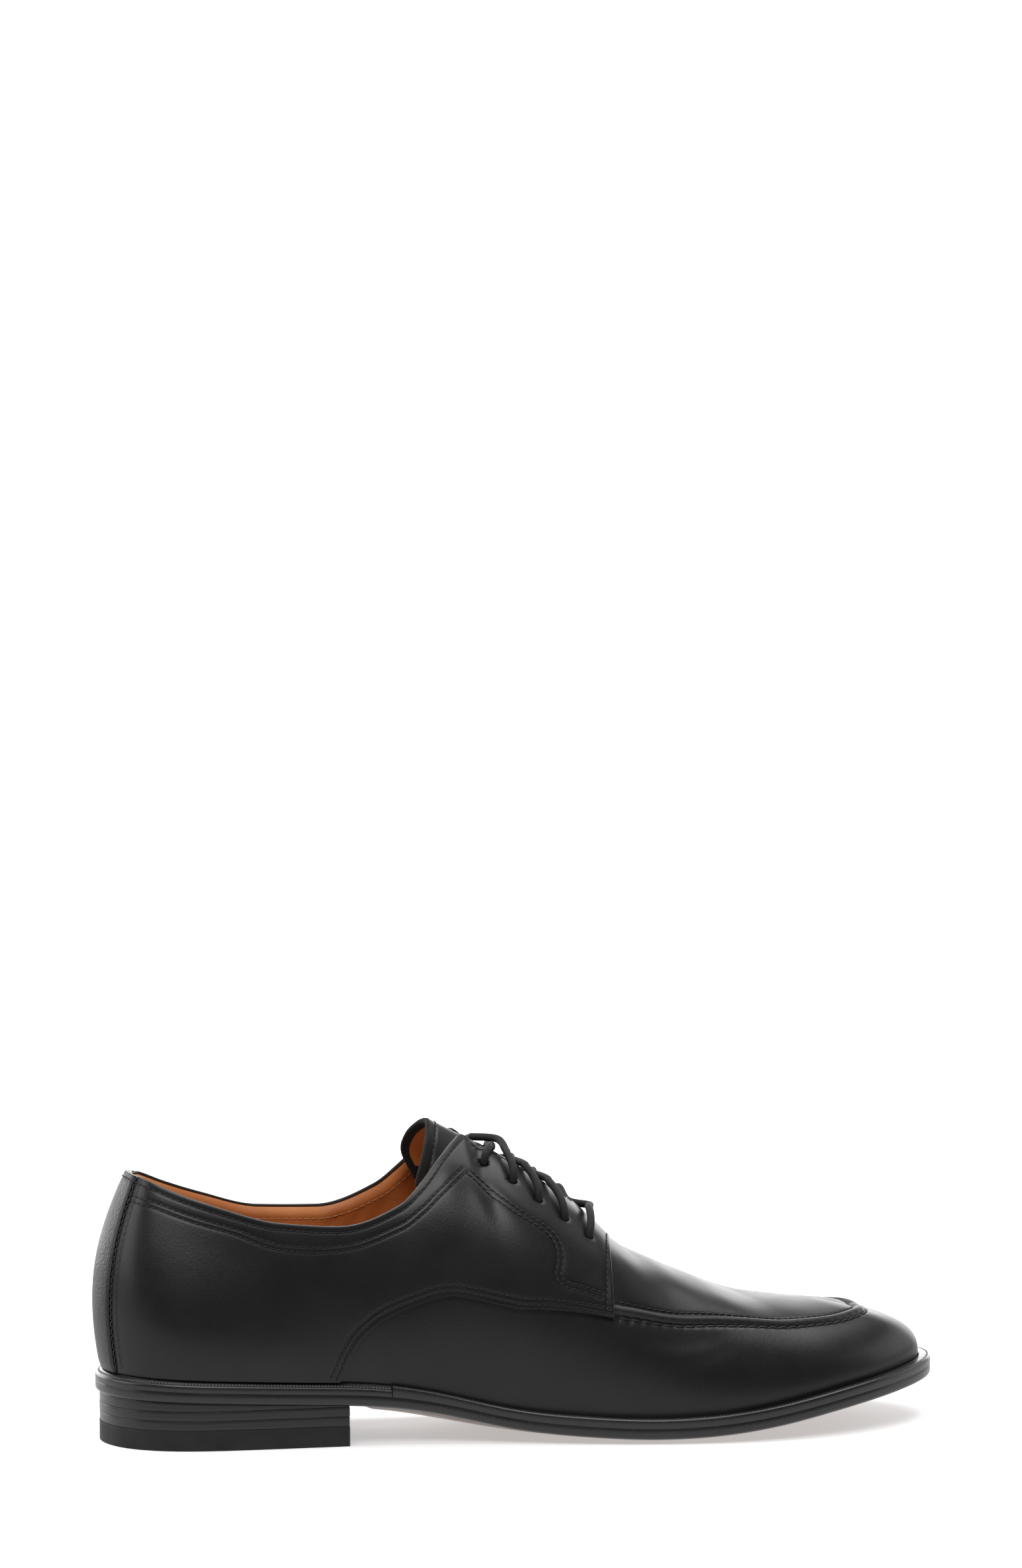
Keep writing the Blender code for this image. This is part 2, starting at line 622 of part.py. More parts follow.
def quarter(name, way):
    """One quarter with its facing, from the back seam to the front edge."""
    columns = [BACK_SEAM] + [station for station in STATIONS if 0.1 < station < FRONT_LEANS_FROM + 0.1]
    columns += [QUARTER_FOOT - 0.012] + list(FRONT_SECTIONS)
    column_station = np.array(sorted(columns))[:, None]
    share = np.array([0, 0.08, 0.2, 0.36, 0.54, 0.72, 0.87, 1.0])[None, :]
    low = OVERLAY_FOOT + np.where(column_station < QUARTER_FOOT, 0, QUARTER_LOW(column_station))
    high = 1.0
    for _ in range(8):
        station_at_top = quarter_station(column_station, high)
        high = share_at_width(float(way), station_at_top, FACING_GAP / 2)
    rounding = FRONT_ROUNDING * smooth_step((column_station - FRONT_SECTIONS[-4]) / 0.5) * 2
    rise = low + (high - rounding - low) * share
    station = quarter_station(column_station, rise)
    side = np.full(station.shape, float(way))
    corner = smooth_step((station - 5.8) / 0.6) * (1 - smooth_step((station - 7.9) / 0.8))
    lift = LAP_FIT + CORNER_EASE * corner * smooth_step((rise - 0.5) / 0.25)
    obj = sheet(name, side, station, rise, lift, OVERLAY_WALL)
    punch(obj)
    return obj


def backstay():
    inside = [station for station in STATIONS if 0 < station < BACKSTAY_EDGE - 0.1]
    lateral = [BACKSTAY_EDGE] + inside[::-1] + [0.0]
    station = np.array(lateral + lateral[-2::-1])[:, None]
    side = np.array([-1.0] * len(lateral) + [1.0] * (len(lateral) - 1))[:, None]
    rise = np.array([BACKSTAY_FOOT, 0.08, 0.2, 0.36, 0.54, 0.72, 0.87, 1.0])[None, :]
    side, station, rise = np.broadcast_arrays(side, station, rise)
    return sheet("backstay", side, station, rise, BACKSTAY_LIFT, BACKSTAY_WALL)


def tongue_section(station):
    """Points across the tongue at one station, from its lateral edge to its medial edge."""
    inset = -(UPPER_WALL + TONGUE_DEPTH)
    free = 1 - smooth_step((station - THROAT_STATION + 0.75) / 0.4)
    widths = TONGUE_WIDTH / 2 * np.array([1.0, 0.75, 0.47, 0.2])
    swell = TONGUE_BULGE * free * np.array([0, 0, 0, 0.8])
    halves = []
    for way in (-1.0, 1.0):
        shares = share_at_width(way, np.full(4, station), widths)
        halves.append(lifted(np.full(4, way), np.full(4, station), shares, inset + swell))
    middle = lifted(-1.0, station, 1.0, inset + TONGUE_BULGE * free)
    return np.concatenate([halves[0], middle[None], halves[1][::-1]])


def tongue():
    end = TONGUE_END
    angle = np.radians(np.array([-90, -68, -45, -20, 0, 20, 45, 68, 90]))
    across = end["half_width"] * np.sin(angle)
    height = end["foot_z"] + (end["top_z"] - end["foot_z"]) * np.cos(angle)
    along = end["foot_x"] + (end["top_x"] - end["foot_x"]) * np.cos(angle)
    free_end = np.stack([along, across, height], -1)
    root = tongue_section(7.65)
    rows = [free_end, free_end * 0.66 + root * 0.34, free_end * 0.32 + root * 0.68]
    rows += [tongue_section(station) for station in (7.65, 8.0, 8.4, 8.84, 9.22, 9.55, TONGUE_ROOT)]
    bm = bmesh.new()
    grid_faces(bm, rows)
    bmesh.ops.recalc_face_normals(bm, faces=bm.faces)
    bm.normal_update()
    if sum(face.normal.z for face in bm.faces) < 0:
        bmesh.ops.reverse_faces(bm, faces=bm.faces)
    obj = finish("tongue", bm, CALF)
    thicken(obj, TONGUE_WALL, -1)
    return obj


def punch(obj):
    """Cuts the eyelets on one piece."""
    for cutter in CUTTERS.objects:
        cut = obj.modifiers.new(cutter.name, "BOOLEAN")
        cut.operation = "DIFFERENCE"
        cut.object = cutter


def eyelet_cutters():
    for way, label in ((-1, "lateral"), (1, "medial")):
        for number, (station, share) in enumerate(EYELET_PLACES, 1):
            place = to_world(wall_point(float(way), station, share))
            normal = mathutils.Vector(wall_normal(float(way), station, share))
            bm = bmesh.new()
            bmesh.ops.create_cone(
                bm, cap_ends=True, segments=10, radius1=EYELET_BORE / 2, radius2=EYELET_BORE / 2, depth=0.012
            )
            mesh = bpy.data.meshes.new(f"eyelet_{label}_{number}")
            bm.to_mesh(mesh)
            bm.free()
            cutter = bpy.data.objects.new(mesh.name, mesh)
            cutter.location = place
            cutter.rotation_euler = normal.to_track_quat("Z", "Y").to_euler()
            cutter.hide_render = True
            cutter.display_type = "WIRE"
            CUTTERS.objects.link(cutter)


def thicken(obj, wall, way):
    shell = obj.modifiers.new("wall", "SOLIDIFY")
    shell.thickness = wall
    shell.offset = way
    shell.use_even_offset = True
    shell.use_quality_normals = True


def clear_scene():
    for obj in list(bpy.data.objects):
        bpy.data.objects.remove(obj, do_unlink=True)


def smooth_path(points, steps):
    """Points along a smooth curve through the given points."""
    points = [mathutils.Vector(point) for point in points]
    padded = [2 * points[0] - points[1]] + points + [2 * points[-1] - points[-2]]
    path = []
    for a, b, c, d in zip(padded, padded[1:], padded[2:], padded[3:]):
        for step in range(steps):
            t = step / steps
            bend = (2 * a - 5 * b + 4 * c - d) * t * t + (3 * b - 3 * c + d - a) * t**3
            path.append((2 * b + (c - a) * t + bend) / 2)
    return path + [points[-1]]


def tube(name, points, into):
    """A round cord through the points, as a mesh."""
    curve = bpy.data.curves.new(name, "CURVE")
    curve.dimensions = "3D"
    curve.fill_mode = "FULL"
    curve.bevel_depth = LACE_DIAMETER / 2
    curve.bevel_resolution = 2
    curve.use_fill_caps = True
    path = smooth_path(points, 2)
    spline = curve.splines.new("POLY")
    spline.points.add(len(path) - 1)
    for point, place in zip(spline.points, path):
        point.co = (*place, 1)
    holder = bpy.data.objects.new(name + "_path", curve)
    into.objects.link(holder)
    bpy.context.view_layer.update()
    mesh = bpy.data.meshes.new_from_object(holder.evaluated_get(bpy.context.evaluated_depsgraph_get()))
    bpy.data.objects.remove(holder)
    bm = bmesh.new()
    bm.from_mesh(mesh)
    bpy.data.meshes.remove(mesh)
    bmesh.ops.remove_doubles(bm, verts=bm.verts, dist=2e-6)
    bmesh.ops.recalc_face_normals(bm, faces=bm.faces)
    return bm


def on_facing(way, eyelet, edge_station, extra=0.0):
    """Middles of a lace that lies on a facing, from its eyelet to the facing's edge."""
    start, share = EYELET_PLACES[eyelet]
    way = float(way)
    at_edge = share_at_width(way, edge_station, FACING_GAP / 2)
    above = LAP_FIT + CORNER_EASE + OVERLAY_WALL + LACE_FIT + LACE_DIAMETER / 2
    places = []
    for along in (0.0, 0.5, 1.0):
        station = start + (edge_station - start) * along
        lift = above + LACE_BOW * along * (1 - along) + extra * along
        places.append(to_world(lifted(way, station, share + (at_edge - share) * along, lift)))
    return places


def over_tongue(station, extra=0.0):
    """Middle of a lace over the tongue's middle."""
    above = TONGUE_BULGE - UPPER_WALL - TONGUE_DEPTH + LACE_FIT + LACE_DIAMETER / 2
    return to_world(lifted(-1.0, station, 1.0, above + extra))


def dive(way, station):
    """Where a strand's end goes in between a facing's edge and the tongue."""
    share = share_at_width(float(way), station, FACING_GAP / 2 - LACE_DIAMETER / 2 - LACE_FIT)
    above = TONGUE_BULGE * 0.8 - UPPER_WALL - TONGUE_DEPTH + LACE_FIT + LACE_DIAMETER / 2
    return to_world(lifted(float(way), station, share, above))


def crossing(number, low, high):
    """The two strands that cross from one pair of eyelets up to the next, joined where they meet."""
    start, end = EYELET_PLACES[low][0], EYELET_PLACES[high][0]
    leave = start + 0.2 * (end - start)
    name = f"lace_crossing_{number}"
    made = []
    for way, label in ((1, "_other"), (-1, "")):
        points = on_facing(way, low, leave)
        points += [over_tongue((start + end) / 2), dive(-way, end + 0.1)]
        made.append(finish(name + label, tube(name, points, CUTTERS), CORD))
    other, obj = made
    SHOE.objects.unlink(other)
    CUTTERS.objects.link(other)
    other.hide_render = True
    other.display_type = "WIRE"
    join = obj.modifiers.new("join", "BOOLEAN")
    join.operation = "UNION"
    join.object = other


def lace():
    """The crossings, the lowest bar, and at the top a strand that lies flat and one that stands off."""
    crossing(2, 2, 1)
    crossing(3, 3, 2)
    low = EYELET_PLACES[4][0]
    bar = on_facing(-1, 4, low + 0.25, LACE_SLACK) + [over_tongue(low + 0.08)]
    bar += on_facing(1, 4, low + 0.04)[::-1]
    finish("lace_bar", tube("lace_bar", bar, CUTTERS), CORD)
    top, low = EYELET_PLACES[0][0], EYELET_PLACES[1][0]
    middle = (top + low) / 2
    flat = on_facing(1, 1, low - 0.1) + [over_tongue(middle)] + on_facing(-1, 0, top + 0.12)[::-1]
    finish("lace_top_flat", tube("lace_top_flat", flat, CUTTERS), CORD)
    loop = on_facing(-1, 1, low - 0.05, LACE_SLACK) + [over_tongue(middle, LACE_LOOP)]
    loop += on_facing(1, 0, top + 0.05)[::-1]
    finish("lace_top_loop", tube("lace_top_loop", loop, CUTTERS), CORD)


def collection(name):
    made = bpy.data.collections.new(name)
    bpy.context.scene.collection.children.link(made)
    return made


clear_scene()
SHOE = collection("apron_toe_derby")
CUTTERS = collection("cutters")
eyelet_cutters()
bpy.context.view_layer.update()
outsole()
heel_stack()
edge_strip("heel_rand", RAND_END - JOINT_FIT, 0.0)
edge_strip("welt", RAND_END + JOINT_FIT, LAST_STATION)
insole()
upper()
quarter("quarter_lateral", -1)
quarter("quarter_medial", 1)
backstay()
tongue()
lace()
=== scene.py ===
"""Apron toe derby, right shoe, as its photograph shows it.

Every leather piece lies over one form, the last that the CAD solids follow. A place on it is a side, -1 lateral
or 1 medial, a station from 0 at the heel's back to 15 at the toe, and a share up the wall, 0 at the welt and 1 at
the top edge. Points have x = 0 at the heel's back until to_world moves them to the CAD's frame.
"""

import math

import bmesh
import bpy
import mathutils
import numpy as np
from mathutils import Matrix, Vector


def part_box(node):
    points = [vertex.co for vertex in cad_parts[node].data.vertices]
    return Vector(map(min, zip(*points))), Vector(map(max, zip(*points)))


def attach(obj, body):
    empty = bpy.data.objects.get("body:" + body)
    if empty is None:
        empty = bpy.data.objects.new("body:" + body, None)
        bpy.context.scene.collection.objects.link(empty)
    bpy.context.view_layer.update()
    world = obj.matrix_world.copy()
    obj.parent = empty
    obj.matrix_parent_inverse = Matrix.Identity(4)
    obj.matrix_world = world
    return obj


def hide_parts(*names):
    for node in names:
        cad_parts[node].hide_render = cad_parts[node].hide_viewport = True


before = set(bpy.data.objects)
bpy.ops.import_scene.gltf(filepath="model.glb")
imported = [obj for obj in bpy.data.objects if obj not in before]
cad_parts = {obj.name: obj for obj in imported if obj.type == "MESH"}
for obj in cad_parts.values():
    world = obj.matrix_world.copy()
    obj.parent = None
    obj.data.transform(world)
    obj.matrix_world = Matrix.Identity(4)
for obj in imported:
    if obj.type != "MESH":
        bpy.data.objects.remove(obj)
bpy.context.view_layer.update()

MM = 0.001

# The last and the sole, in metres, as the solids have them
SOLE_LENGTH = 0.3060
BALL_WIDTH = 0.1060
HEEL_HEIGHT = 0.0178
INSTEP_HEIGHT = 0.1060
TOE_SPRING = 0.0138
EDGE_LIFT = 0.0016
WAIST_CROWN = 0.0046
HEEL_LENGTH = 0.0860
HEEL_INSET = 0.0014
OUTSOLE_EDGE = 0.0040
WELT_THICKNESS = 0.0034
WELT_REACH = 0.0046
RAND_HEIGHT = 0.0042
RAND_END = 5.2
FACING_GAP = 0.0170
HALF_BALL = BALL_WIDTH / 2
LAST_STATION = 15
PERIOD = 2 * LAST_STATION
TOE_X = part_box("outsole")[1][0]
ORIGIN_X = SOLE_LENGTH - TOE_X

SOLE = (
    # x, lateral, medial, heel rise, toe rise, edge lift, reach, at stations 0 to 15
    (0.000, 0.000, 0.000, 1.000, 0.00, 0.0, 1.05),
    (0.023, 0.383, 0.383, 0.994, 0.00, 0.0, 0.96),
    (0.082, 0.590, 0.590, 0.966, 0.00, 0.0, 0.76),
    (0.157, 0.634, 0.623, 0.912, 0.00, 0.0, 0.70),
    (0.235, 0.628, 0.596, 0.848, 0.00, 0.0, 0.68),
    (0.314, 0.626, 0.547, 0.772, 0.00, 0.0, 0.68),
    (0.392, 0.660, 0.528, 0.540, 0.00, 0.4, 0.68),
    (0.471, 0.745, 0.585, 0.215, 0.00, 0.8, 0.76),
    (0.549, 0.858, 0.726, 0.055, 0.00, 1.0, 0.90),
    (0.627, 0.953, 0.887, 0.000, 0.00, 1.0, 1.00),
    (0.706, 1.000, 0.985, 0.000, 0.07, 1.0, 1.00),
    (0.781, 0.972, 1.000, 0.000, 0.27, 1.0, 1.00),
    (0.856, 0.855, 0.915, 0.000, 0.55, 1.0, 1.00),
    (0.925, 0.640, 0.705, 0.000, 0.77, 1.0, 1.00),
    (0.980, 0.345, 0.385, 0.000, 0.94, 1.0, 1.00),
    (1.000, 0.000, 0.000, 0.000, 1.00, 1.0, 1.00),
)
WALL = (
    # lean out at the welt, lower handle, slope at the top, upper handle, at stations 0 to 15
    (11, 0.42, 64, 0.36),
    (11, 0.42, 66, 0.36),
    (11, 0.40, 72, 0.36),
    (9, 0.38, 77, 0.36),
    (7, 0.36, 79, 0.36),
    (6, 0.34, 78, 0.38),
    (5, 0.33, 72, 0.38),
    (5, 0.32, 46, 0.36),
    (5, 0.30, 0, 0.37),
    (6, 0.30, 0, 0.40),
    (7, 0.29, 0, 0.42),
    (8, 0.29, 0, 0.45),
    (8, 0.30, 0, 0.47),
    (7, 0.31, 0, 0.47),
    (5, 0.32, 0, 0.50),
    (4, 0.32, 0, 0.51),
)
TOP_EDGE = (
    # station, x, lateral y, medial y, lateral z, medial z
    (0.00, 0.0458, 0.000, 0.000, 0.894, 0.894),
    (1.00, 0.0572, 0.208, 0.208, 0.880, 0.882),
    (2.00, 0.0882, 0.321, 0.321, 0.840, 0.842),
    (3.00, 0.1370, 0.406, 0.406, 0.792, 0.793),
    (4.00, 0.2030, 0.477, 0.477, 0.742, 0.744),
    (5.00, 0.2745, 0.500, 0.495, 0.728, 0.738),
    (6.00, 0.3430, 0.462, 0.455, 0.789, 0.806),
    (6.50, 0.3710, 0.415, 0.410, 0.858, 0.872),
    (6.85, 0.3960, 0.335, 0.335, 0.938, 0.946),
    (7.10, 0.4130, 0.235, 0.235, 0.984, 0.988),
    (7.35, 0.4300, 0.110, 0.110, 1.007, 1.008),
    (7.60, 0.4510, 0.000, 0.000, 0.980, 0.980),
    (8.00, 0.4820, 0.000, 0.000, 0.913, 0.913),
    (8.50, 0.5200, 0.000, 0.000, 0.839, 0.839),
    (9.00, 0.5560, 0.000, 0.000, 0.766, 0.766),
    (9.50, 0.5915, 0.000, 0.000, 0.678, 0.678),
    (10.0, 0.6260, 0.000, 0.000, 0.606, 0.606),
    (10.5, 0.6600, 0.000, 0.000, 0.560, 0.560),
    (11.0, 0.6960, 0.000, 0.000, 0.515, 0.515),
    (12.0, 0.7610, 0.000, 0.000, 0.444, 0.444),
    (13.0, 0.8170, 0.000, 0.000, 0.419, 0.419),
    (14.0, 0.8560, 0.000, 0.000, 0.408, 0.408),
    (15.0, 0.8760, 0.000, 0.000, 0.396, 0.396),
)
FACING_STATION = 7.0
FALL_STATION = 7.1
SOFT_FROM, SOFT_TO = (5.6, 1.0), (8.2, 0.9)  # the wall eases past the facing's corner: first station, stations taken
SOFT_BELOW = (0.45, 0.5)
RIDGE_STATION = 7.6
RIDGE_STEP = 0.2
THROAT_STATION = 9.6
THROAT_ROUNDING = 0.45

# Seams as stations along the shoe and shares up its wall
APRON_SEAM = (
    (8.8, 0.375), (9.45, 0.400), (10.3, 0.455), (11.2, 0.500), (12.0, 0.520), (12.6, 0.532),
    (13.15, 0.560), (13.75, 0.620), (14.4, 0.710), (15.0, 0.772),
)
QUARTER_EDGE = (
    (4.42, 0.000), (4.65, 0.170), (4.90, 0.305), (5.30, 0.425), (5.70, 0.480), (6.15, 0.505),
    (6.45, 0.492), (6.75, 0.448), (7.10, 0.394), (7.45, 0.350), (7.90, 0.334), (8.75, 0.350),
)
QUARTER_FOOT = 4.42
FRONT_LOW = (8.75, 0.352)
FRONT_HIGH = (9.65, 0.920)
FRONT_ROUNDING = 0.07
FRONT_LEANS_FROM = 7.2
EYELETS = ((7.62, 0.825), (7.97, 0.765), (8.29, 0.725), (8.64, 0.700), (8.95, 0.668))
FACING_PANEL = (
    (7.34, 0.815), (7.44, 0.768), (7.56, 0.720), (7.72, 0.670), (7.90, 0.630), (8.12, 0.608), (8.26, 0.590),
    (8.30, 0.560), (8.28, 0.530), (8.21, 0.490), (8.12, 0.455), (8.10, 0.438), (8.20, 0.425), (8.42, 0.428),
    (8.72, 0.428),
)
BACKSTAY_EDGE = 0.70

# Layers, as heights over the last's form
QUARTER_FACE = 0.0018
QUARTER_WALL = 0.0012
BACKSTAY_FACE = 0.0031
BACKSTAY_WALL = 0.0022
LINING_FACE = -0.00135
LINING_WALL = 0.0008
LINING_ROLL = 0.00175  # how far its rim rolls out to the topline
LINING_SEWN = -0.0021
COLLAR_DROP = 0.011  # shares that the lining stays under the topline, and under the facing's edge
FACING_DROP = 0.04
RIM_LIFT = 0.0012
RIM_RADIUS = 0.00042
FRONT_EDGE_LIFT = 0.00135
FRONT_EDGE_RADIUS = 0.00036
BEAD_WIDTH = 0.0039
BEAD_HEIGHT = 0.00115
EYELET_RADIUS = 0.00175
LACE_RADIUS = 0.0014
LACE_CLEAR = 0.3 * MM
TONGUE_ROOT = 10.0
TONGUE_WIDTH = 0.0400
TONGUE_FACE = -0.0028
TONGUE_WALL = 0.0023
TONGUE_BULGE = 0.0018
TONGUE_END = {"half_width": 0.0160, "foot_x": 0.1130, "foot_z": 0.0905, "top_x": 0.1200, "top_z": 0.1122}

# The heel's layers, the strips round the sole, and the channel in its underside
TOP_LIFT = 7.3 * MM
LIFT = 3.1 * MM
LIFT_GAP = 0.3 * MM
GAP_FILL = 0.25 * MM
LAYER_EDGE = (
    # mm drawn in, share of the height, mm raised
    (0.3, 0, 0), (0.05, 0, 0.05), (0, 0, 0.16), (0, 0.33, 0), (0, 0.66, 0),
    (0, 1, -0.16), (0.05, 1, -0.05), (0.3, 1, 0),
)
STRIP_DROP = 1.5  # mm that the rand falls to its edge
STRIP_ROUNDING = ((0, 1.0), (0.1, 0.55), (0.35, 0.2), (0.75, 0.05))  # mm drawn in, mm under the top
STRIP_CREASE = ((0.7, 0), (0.3, 0.15), (0.02, 0.7), (0, 1.3))  # mm from the inner edge, mm under the top
FUDGE_SECTION = (
    # mm drawn in, mm over the strip, mm cut by the wheel
    (0.85, -0.25, 0), (0.9, 0.04, 0.1), (1.05, 0.12, 0.2), (1.35, 0.12, 0.2), (1.5, 0.04, 0.1), (1.55, -0.3, 0),
)
FUDGE_STEP = 0.285 * MM
CHANNEL_DEPTH = 0.25 * MM
CHANNEL_INSET = 3.4 * MM
CHANNEL_WIDTH = 0.5 * MM

# Seam lines on the form, their rows and stitches
RIM_STATIONS = (BACKSTAY_EDGE, 2, 4, 5.5, 6.4, 6.95, 7.2)
RIM_THINNED = 3  # one in so many of the rim line's points makes its tube
COLLAR = (
    (0.0, 0.893), (1.12, 0.895), (1.56, 0.900), (2.52, 0.895), (3.28, 0.895), (3.92, 0.865), (4.54, 0.865),
    (5.20, 0.890), (5.88, 0.900), (6.60, 0.880), (7.06, 0.850), (7.28, 0.835),
)
FOOT_STATIONS = (4.46, 4.55, 4.65, 4.9, 5.3, 5.7, 6.15, 6.45, 6.75, 7.1, 7.45, 7.9, 8.3, 8.72)
LINE_STEP = 0.2 * MM
AVERAGED = 17  # points over which a line beside another is averaged
STITCH_PITCH = 2.3 * MM
FINE_PITCH = 2.6 * MM
APRON_PITCH = 4.1 * MM
THREAD_RADIUS = 0.19 * MM

VAMP_BACK, BEAD_BACK = 4.22, 8.58  # stations where they end under the quarters
BEAD_SUNK = 0.35 * MM
CREASES = (
    # depth and half width in mm, then stations and shares along the crease, lateral and medial
    (0.20, 3.2, ((8.95, 0.300), (9.40, 0.315), (9.90, 0.345), (10.4, 0.385), (10.8, 0.420))),
    (0.10, 2.6, ((9.55, 0.230), (9.95, 0.270), (10.35, 0.320), (10.6, 0.365))),
    (-0.10, 3.0, ((9.10, 0.245), (9.55, 0.272), (10.0, 0.305), (10.5, 0.350))),
    (0.14, 3.0, ((9.95, 0.800), (10.02, 0.90), (10.0, 0.990))),
    (0.10, 3.0, ((10.55, 0.800), (10.68, 0.90), (10.72, 0.990))),
    (-0.08, 3.0, ((10.25, 0.800), (10.36, 0.90), (10.38, 0.990))),
)
LINING_WRINKLES = (
    # the same for the lining, whose ridges stand up towards the foot
    (-0.7, 1.6, ((5.35, 0.93), (5.1, 0.86), (4.9, 0.78), (4.75, 0.70))),
    (-0.6, 1.4, ((5.75, 0.92), (5.5, 0.84), (5.25, 0.76), (5.1, 0.68))),
    (-0.5, 1.3, ((6.15, 0.90), (5.9, 0.82), (5.65, 0.74), (5.5, 0.66))),
    (-0.5, 1.5, ((2.4, 0.93), (2.6, 0.86), (2.9, 0.80), (3.3, 0.76))),
    (-0.4, 1.4, ((1.4, 0.92), (1.6, 0.85), (1.9, 0.80), (2.3, 0.76))),
)

# Pieces
DOUBLES = 2e-6
SHARP_ANGLE = math.radians(50)
SIDES = ((-1.0, "lateral"), (1.0, "medial"))
INSIDE = mathutils.Vector((0, 0, 0.045))
OVERHEAD = mathutils.Vector((0.05, 0, 0.4))

# Stage, lights and camera
CARD_GLOW = 0.72
FLOOR_GLOW = 0.40
FLOOR_REACH = 0.75
BACKDROP_GLOW = 1.2
WORLD_GLOW = 0.11
LIGHTS = (
    # name, place, target, size, watts
    ("overhead", (0.05, 0.2, 1.3), (0.03, 0, 0.05), (1.6, 1.2), 15),
    ("left", (-1.5, 0.15, 0.7), (0, 0, 0.05), (1.3, 1.0), 6.5),
    ("right", (1.5, 0.25, 0.55), (0.05, 0, 0.05), (1.2, 0.9), 3.2),
    ("front", (-0.35, -1.15, 1.45), (0, 0, 0.08), (1.2, 0.8), 12),
    ("sweep", (0.0, 1.7, 0.45), (0, 0, 0.1), (4.0, 1.0), 32),
)
CAMERA_LENS = 114.96
CAMERA_SHIFT = (-0.0038, 0.3038)
CAMERA_TARGET = (0.1525, 0, 0.060)
CAMERA_WAY = (-0.1991, -0.9700, 0.1392)
CAMERA_DISTANCE = 1.8


def ring_spline(values):
    """A smooth closed curve through values at whole stations."""
    values = np.asarray(values, float)
    count = len(values)
    matrix = 4 * np.eye(count) + np.roll(np.eye(count), 1, 1) + np.roll(np.eye(count), -1, 1)
    bend = np.linalg.solve(matrix, 6 * (np.roll(values, -1) - 2 * values + np.roll(values, 1)))

    def at(station):
        station = np.mod(np.asarray(station, float), count)
        low = np.minimum(station.astype(int), count - 1)
        high = (low + 1) % count
        b = station - low
        a = 1 - b
        return a * values[low] + b * values[high] + ((a**3 - a) * bend[low] + (b**3 - b) * bend[high]) / 6

    return at


def eased(knots, values):
    """A curve through values that never overshoots, level at both ends."""
    knots, values = np.asarray(knots, float), np.asarray(values, float)
    widths = np.diff(knots)
    slopes = np.diff(values) / widths
    tangents = np.zeros(len(knots))
    same_way = slopes[:-1] * slopes[1:] > 0
    left, right = slopes[:-1][same_way], slopes[1:][same_way]
    near, far = widths[:-1][same_way], widths[1:][same_way]
    first, second = 2 * far + near, far + 2 * near
    tangents[1:-1][same_way] = (first + second) / (first / left + second / right)

    def at(station):
        station = np.clip(station, knots[0], knots[-1])
        low = np.clip(np.searchsorted(knots, station, side="right") - 1, 0, len(widths) - 1)
        span = widths[low]
        b = (station - knots[low]) / span
        a = 1 - b
        ends = a * a * (1 + 2 * b) * values[low] + b * b * (1 + 2 * a) * values[low + 1]
        return ends + a * b * span * (a * tangents[low] - b * tangents[low + 1])

    return at


def column(table, index):
    return [row[index] for row in table]


def both_sides(lateral, medial):
    return list(lateral) + list(medial)[-2:0:-1]


def even_ring(index):
    return ring_spline(both_sides(column(SOLE, index), column(SOLE, index)))


EDGE_X = even_ring(0)
EDGE_Y = ring_spline(both_sides([-w for w in column(SOLE, 1)], column(SOLE, 2)))
HEEL_RISE, TOE_RISE, LIFTED, REACH = (even_ring(index) for index in (3, 4, 5, 6))
STATION_KNOTS = list(range(LAST_STATION + 1))


def softened(curve, reach=0.75):
    """The same curve, averaged over the stations near each one, from a table."""
    offsets = np.linspace(-reach, reach, 25)
    weights = np.cos(offsets / reach * np.pi / 2) ** 2
    known = np.linspace(-1, LAST_STATION + 1, 3401)
    values = sum(weight * curve(known + offset) for weight, offset in zip(weights, offsets)) / weights.sum()
    return lambda station: np.interp(station, known, values)


LEAN, LOWER_HANDLE, TOP_SLOPE, UPPER_HANDLE = (softened(eased(STATION_KNOTS, column(WALL, i))) for i in range(4))
TOP_X = eased(column(TOP_EDGE, 0), column(TOP_EDGE, 1))
TOP_Y = {-1: eased(column(TOP_EDGE, 0), column(TOP_EDGE, 2)), 1: eased(column(TOP_EDGE, 0), column(TOP_EDGE, 3))}
TOP_Z = {-1: eased(column(TOP_EDGE, 0), column(TOP_EDGE, 4)), 1: eased(column(TOP_EDGE, 0), column(TOP_EDGE, 5))}
SEAM = eased(*zip(*APRON_SEAM))
QUARTER_LOW = eased(*zip(*QUARTER_EDGE))


def smooth_step(value, start=0.0, over=1.0):
    """0 up to the start, then smoothly to 1 over the given length."""
    value = np.clip((value - start) / over, 0, 1)
    return value * value * (3 - 2 * value)


def sole_edge(side, station, inset=0.0):
    """Plan point of the sole's outline, moved inwards square to it, and the way out."""
    place = np.where(np.asarray(side) < 0, station, PERIOD - np.asarray(station, float))
    step = 1e-3

    def outline(at):
        return np.stack([EDGE_X(at) * SOLE_LENGTH, EDGE_Y(at) * HALF_BALL], -1)

    along = outline(place + step) - outline(place - step)
    along /= np.linalg.norm(along, axis=-1, keepdims=True)
    outward = np.stack([along[..., 1], -along[..., 0]], -1)
    return outline(place) - outward * np.asarray(inset)[..., None], outward


def edge_bottom(station):
    return HEEL_RISE(station) * HEEL_HEIGHT + TOE_RISE(station) * TOE_SPRING + LIFTED(station) * EDGE_LIFT


def seat_height(station):
    return edge_bottom(station) + OUTSOLE_EDGE


def rim_height(station):
    past_joint = smooth_step(station, RAND_END - 0.5, 2)
    return RAND_HEIGHT + (WELT_THICKNESS - RAND_HEIGHT) * past_joint


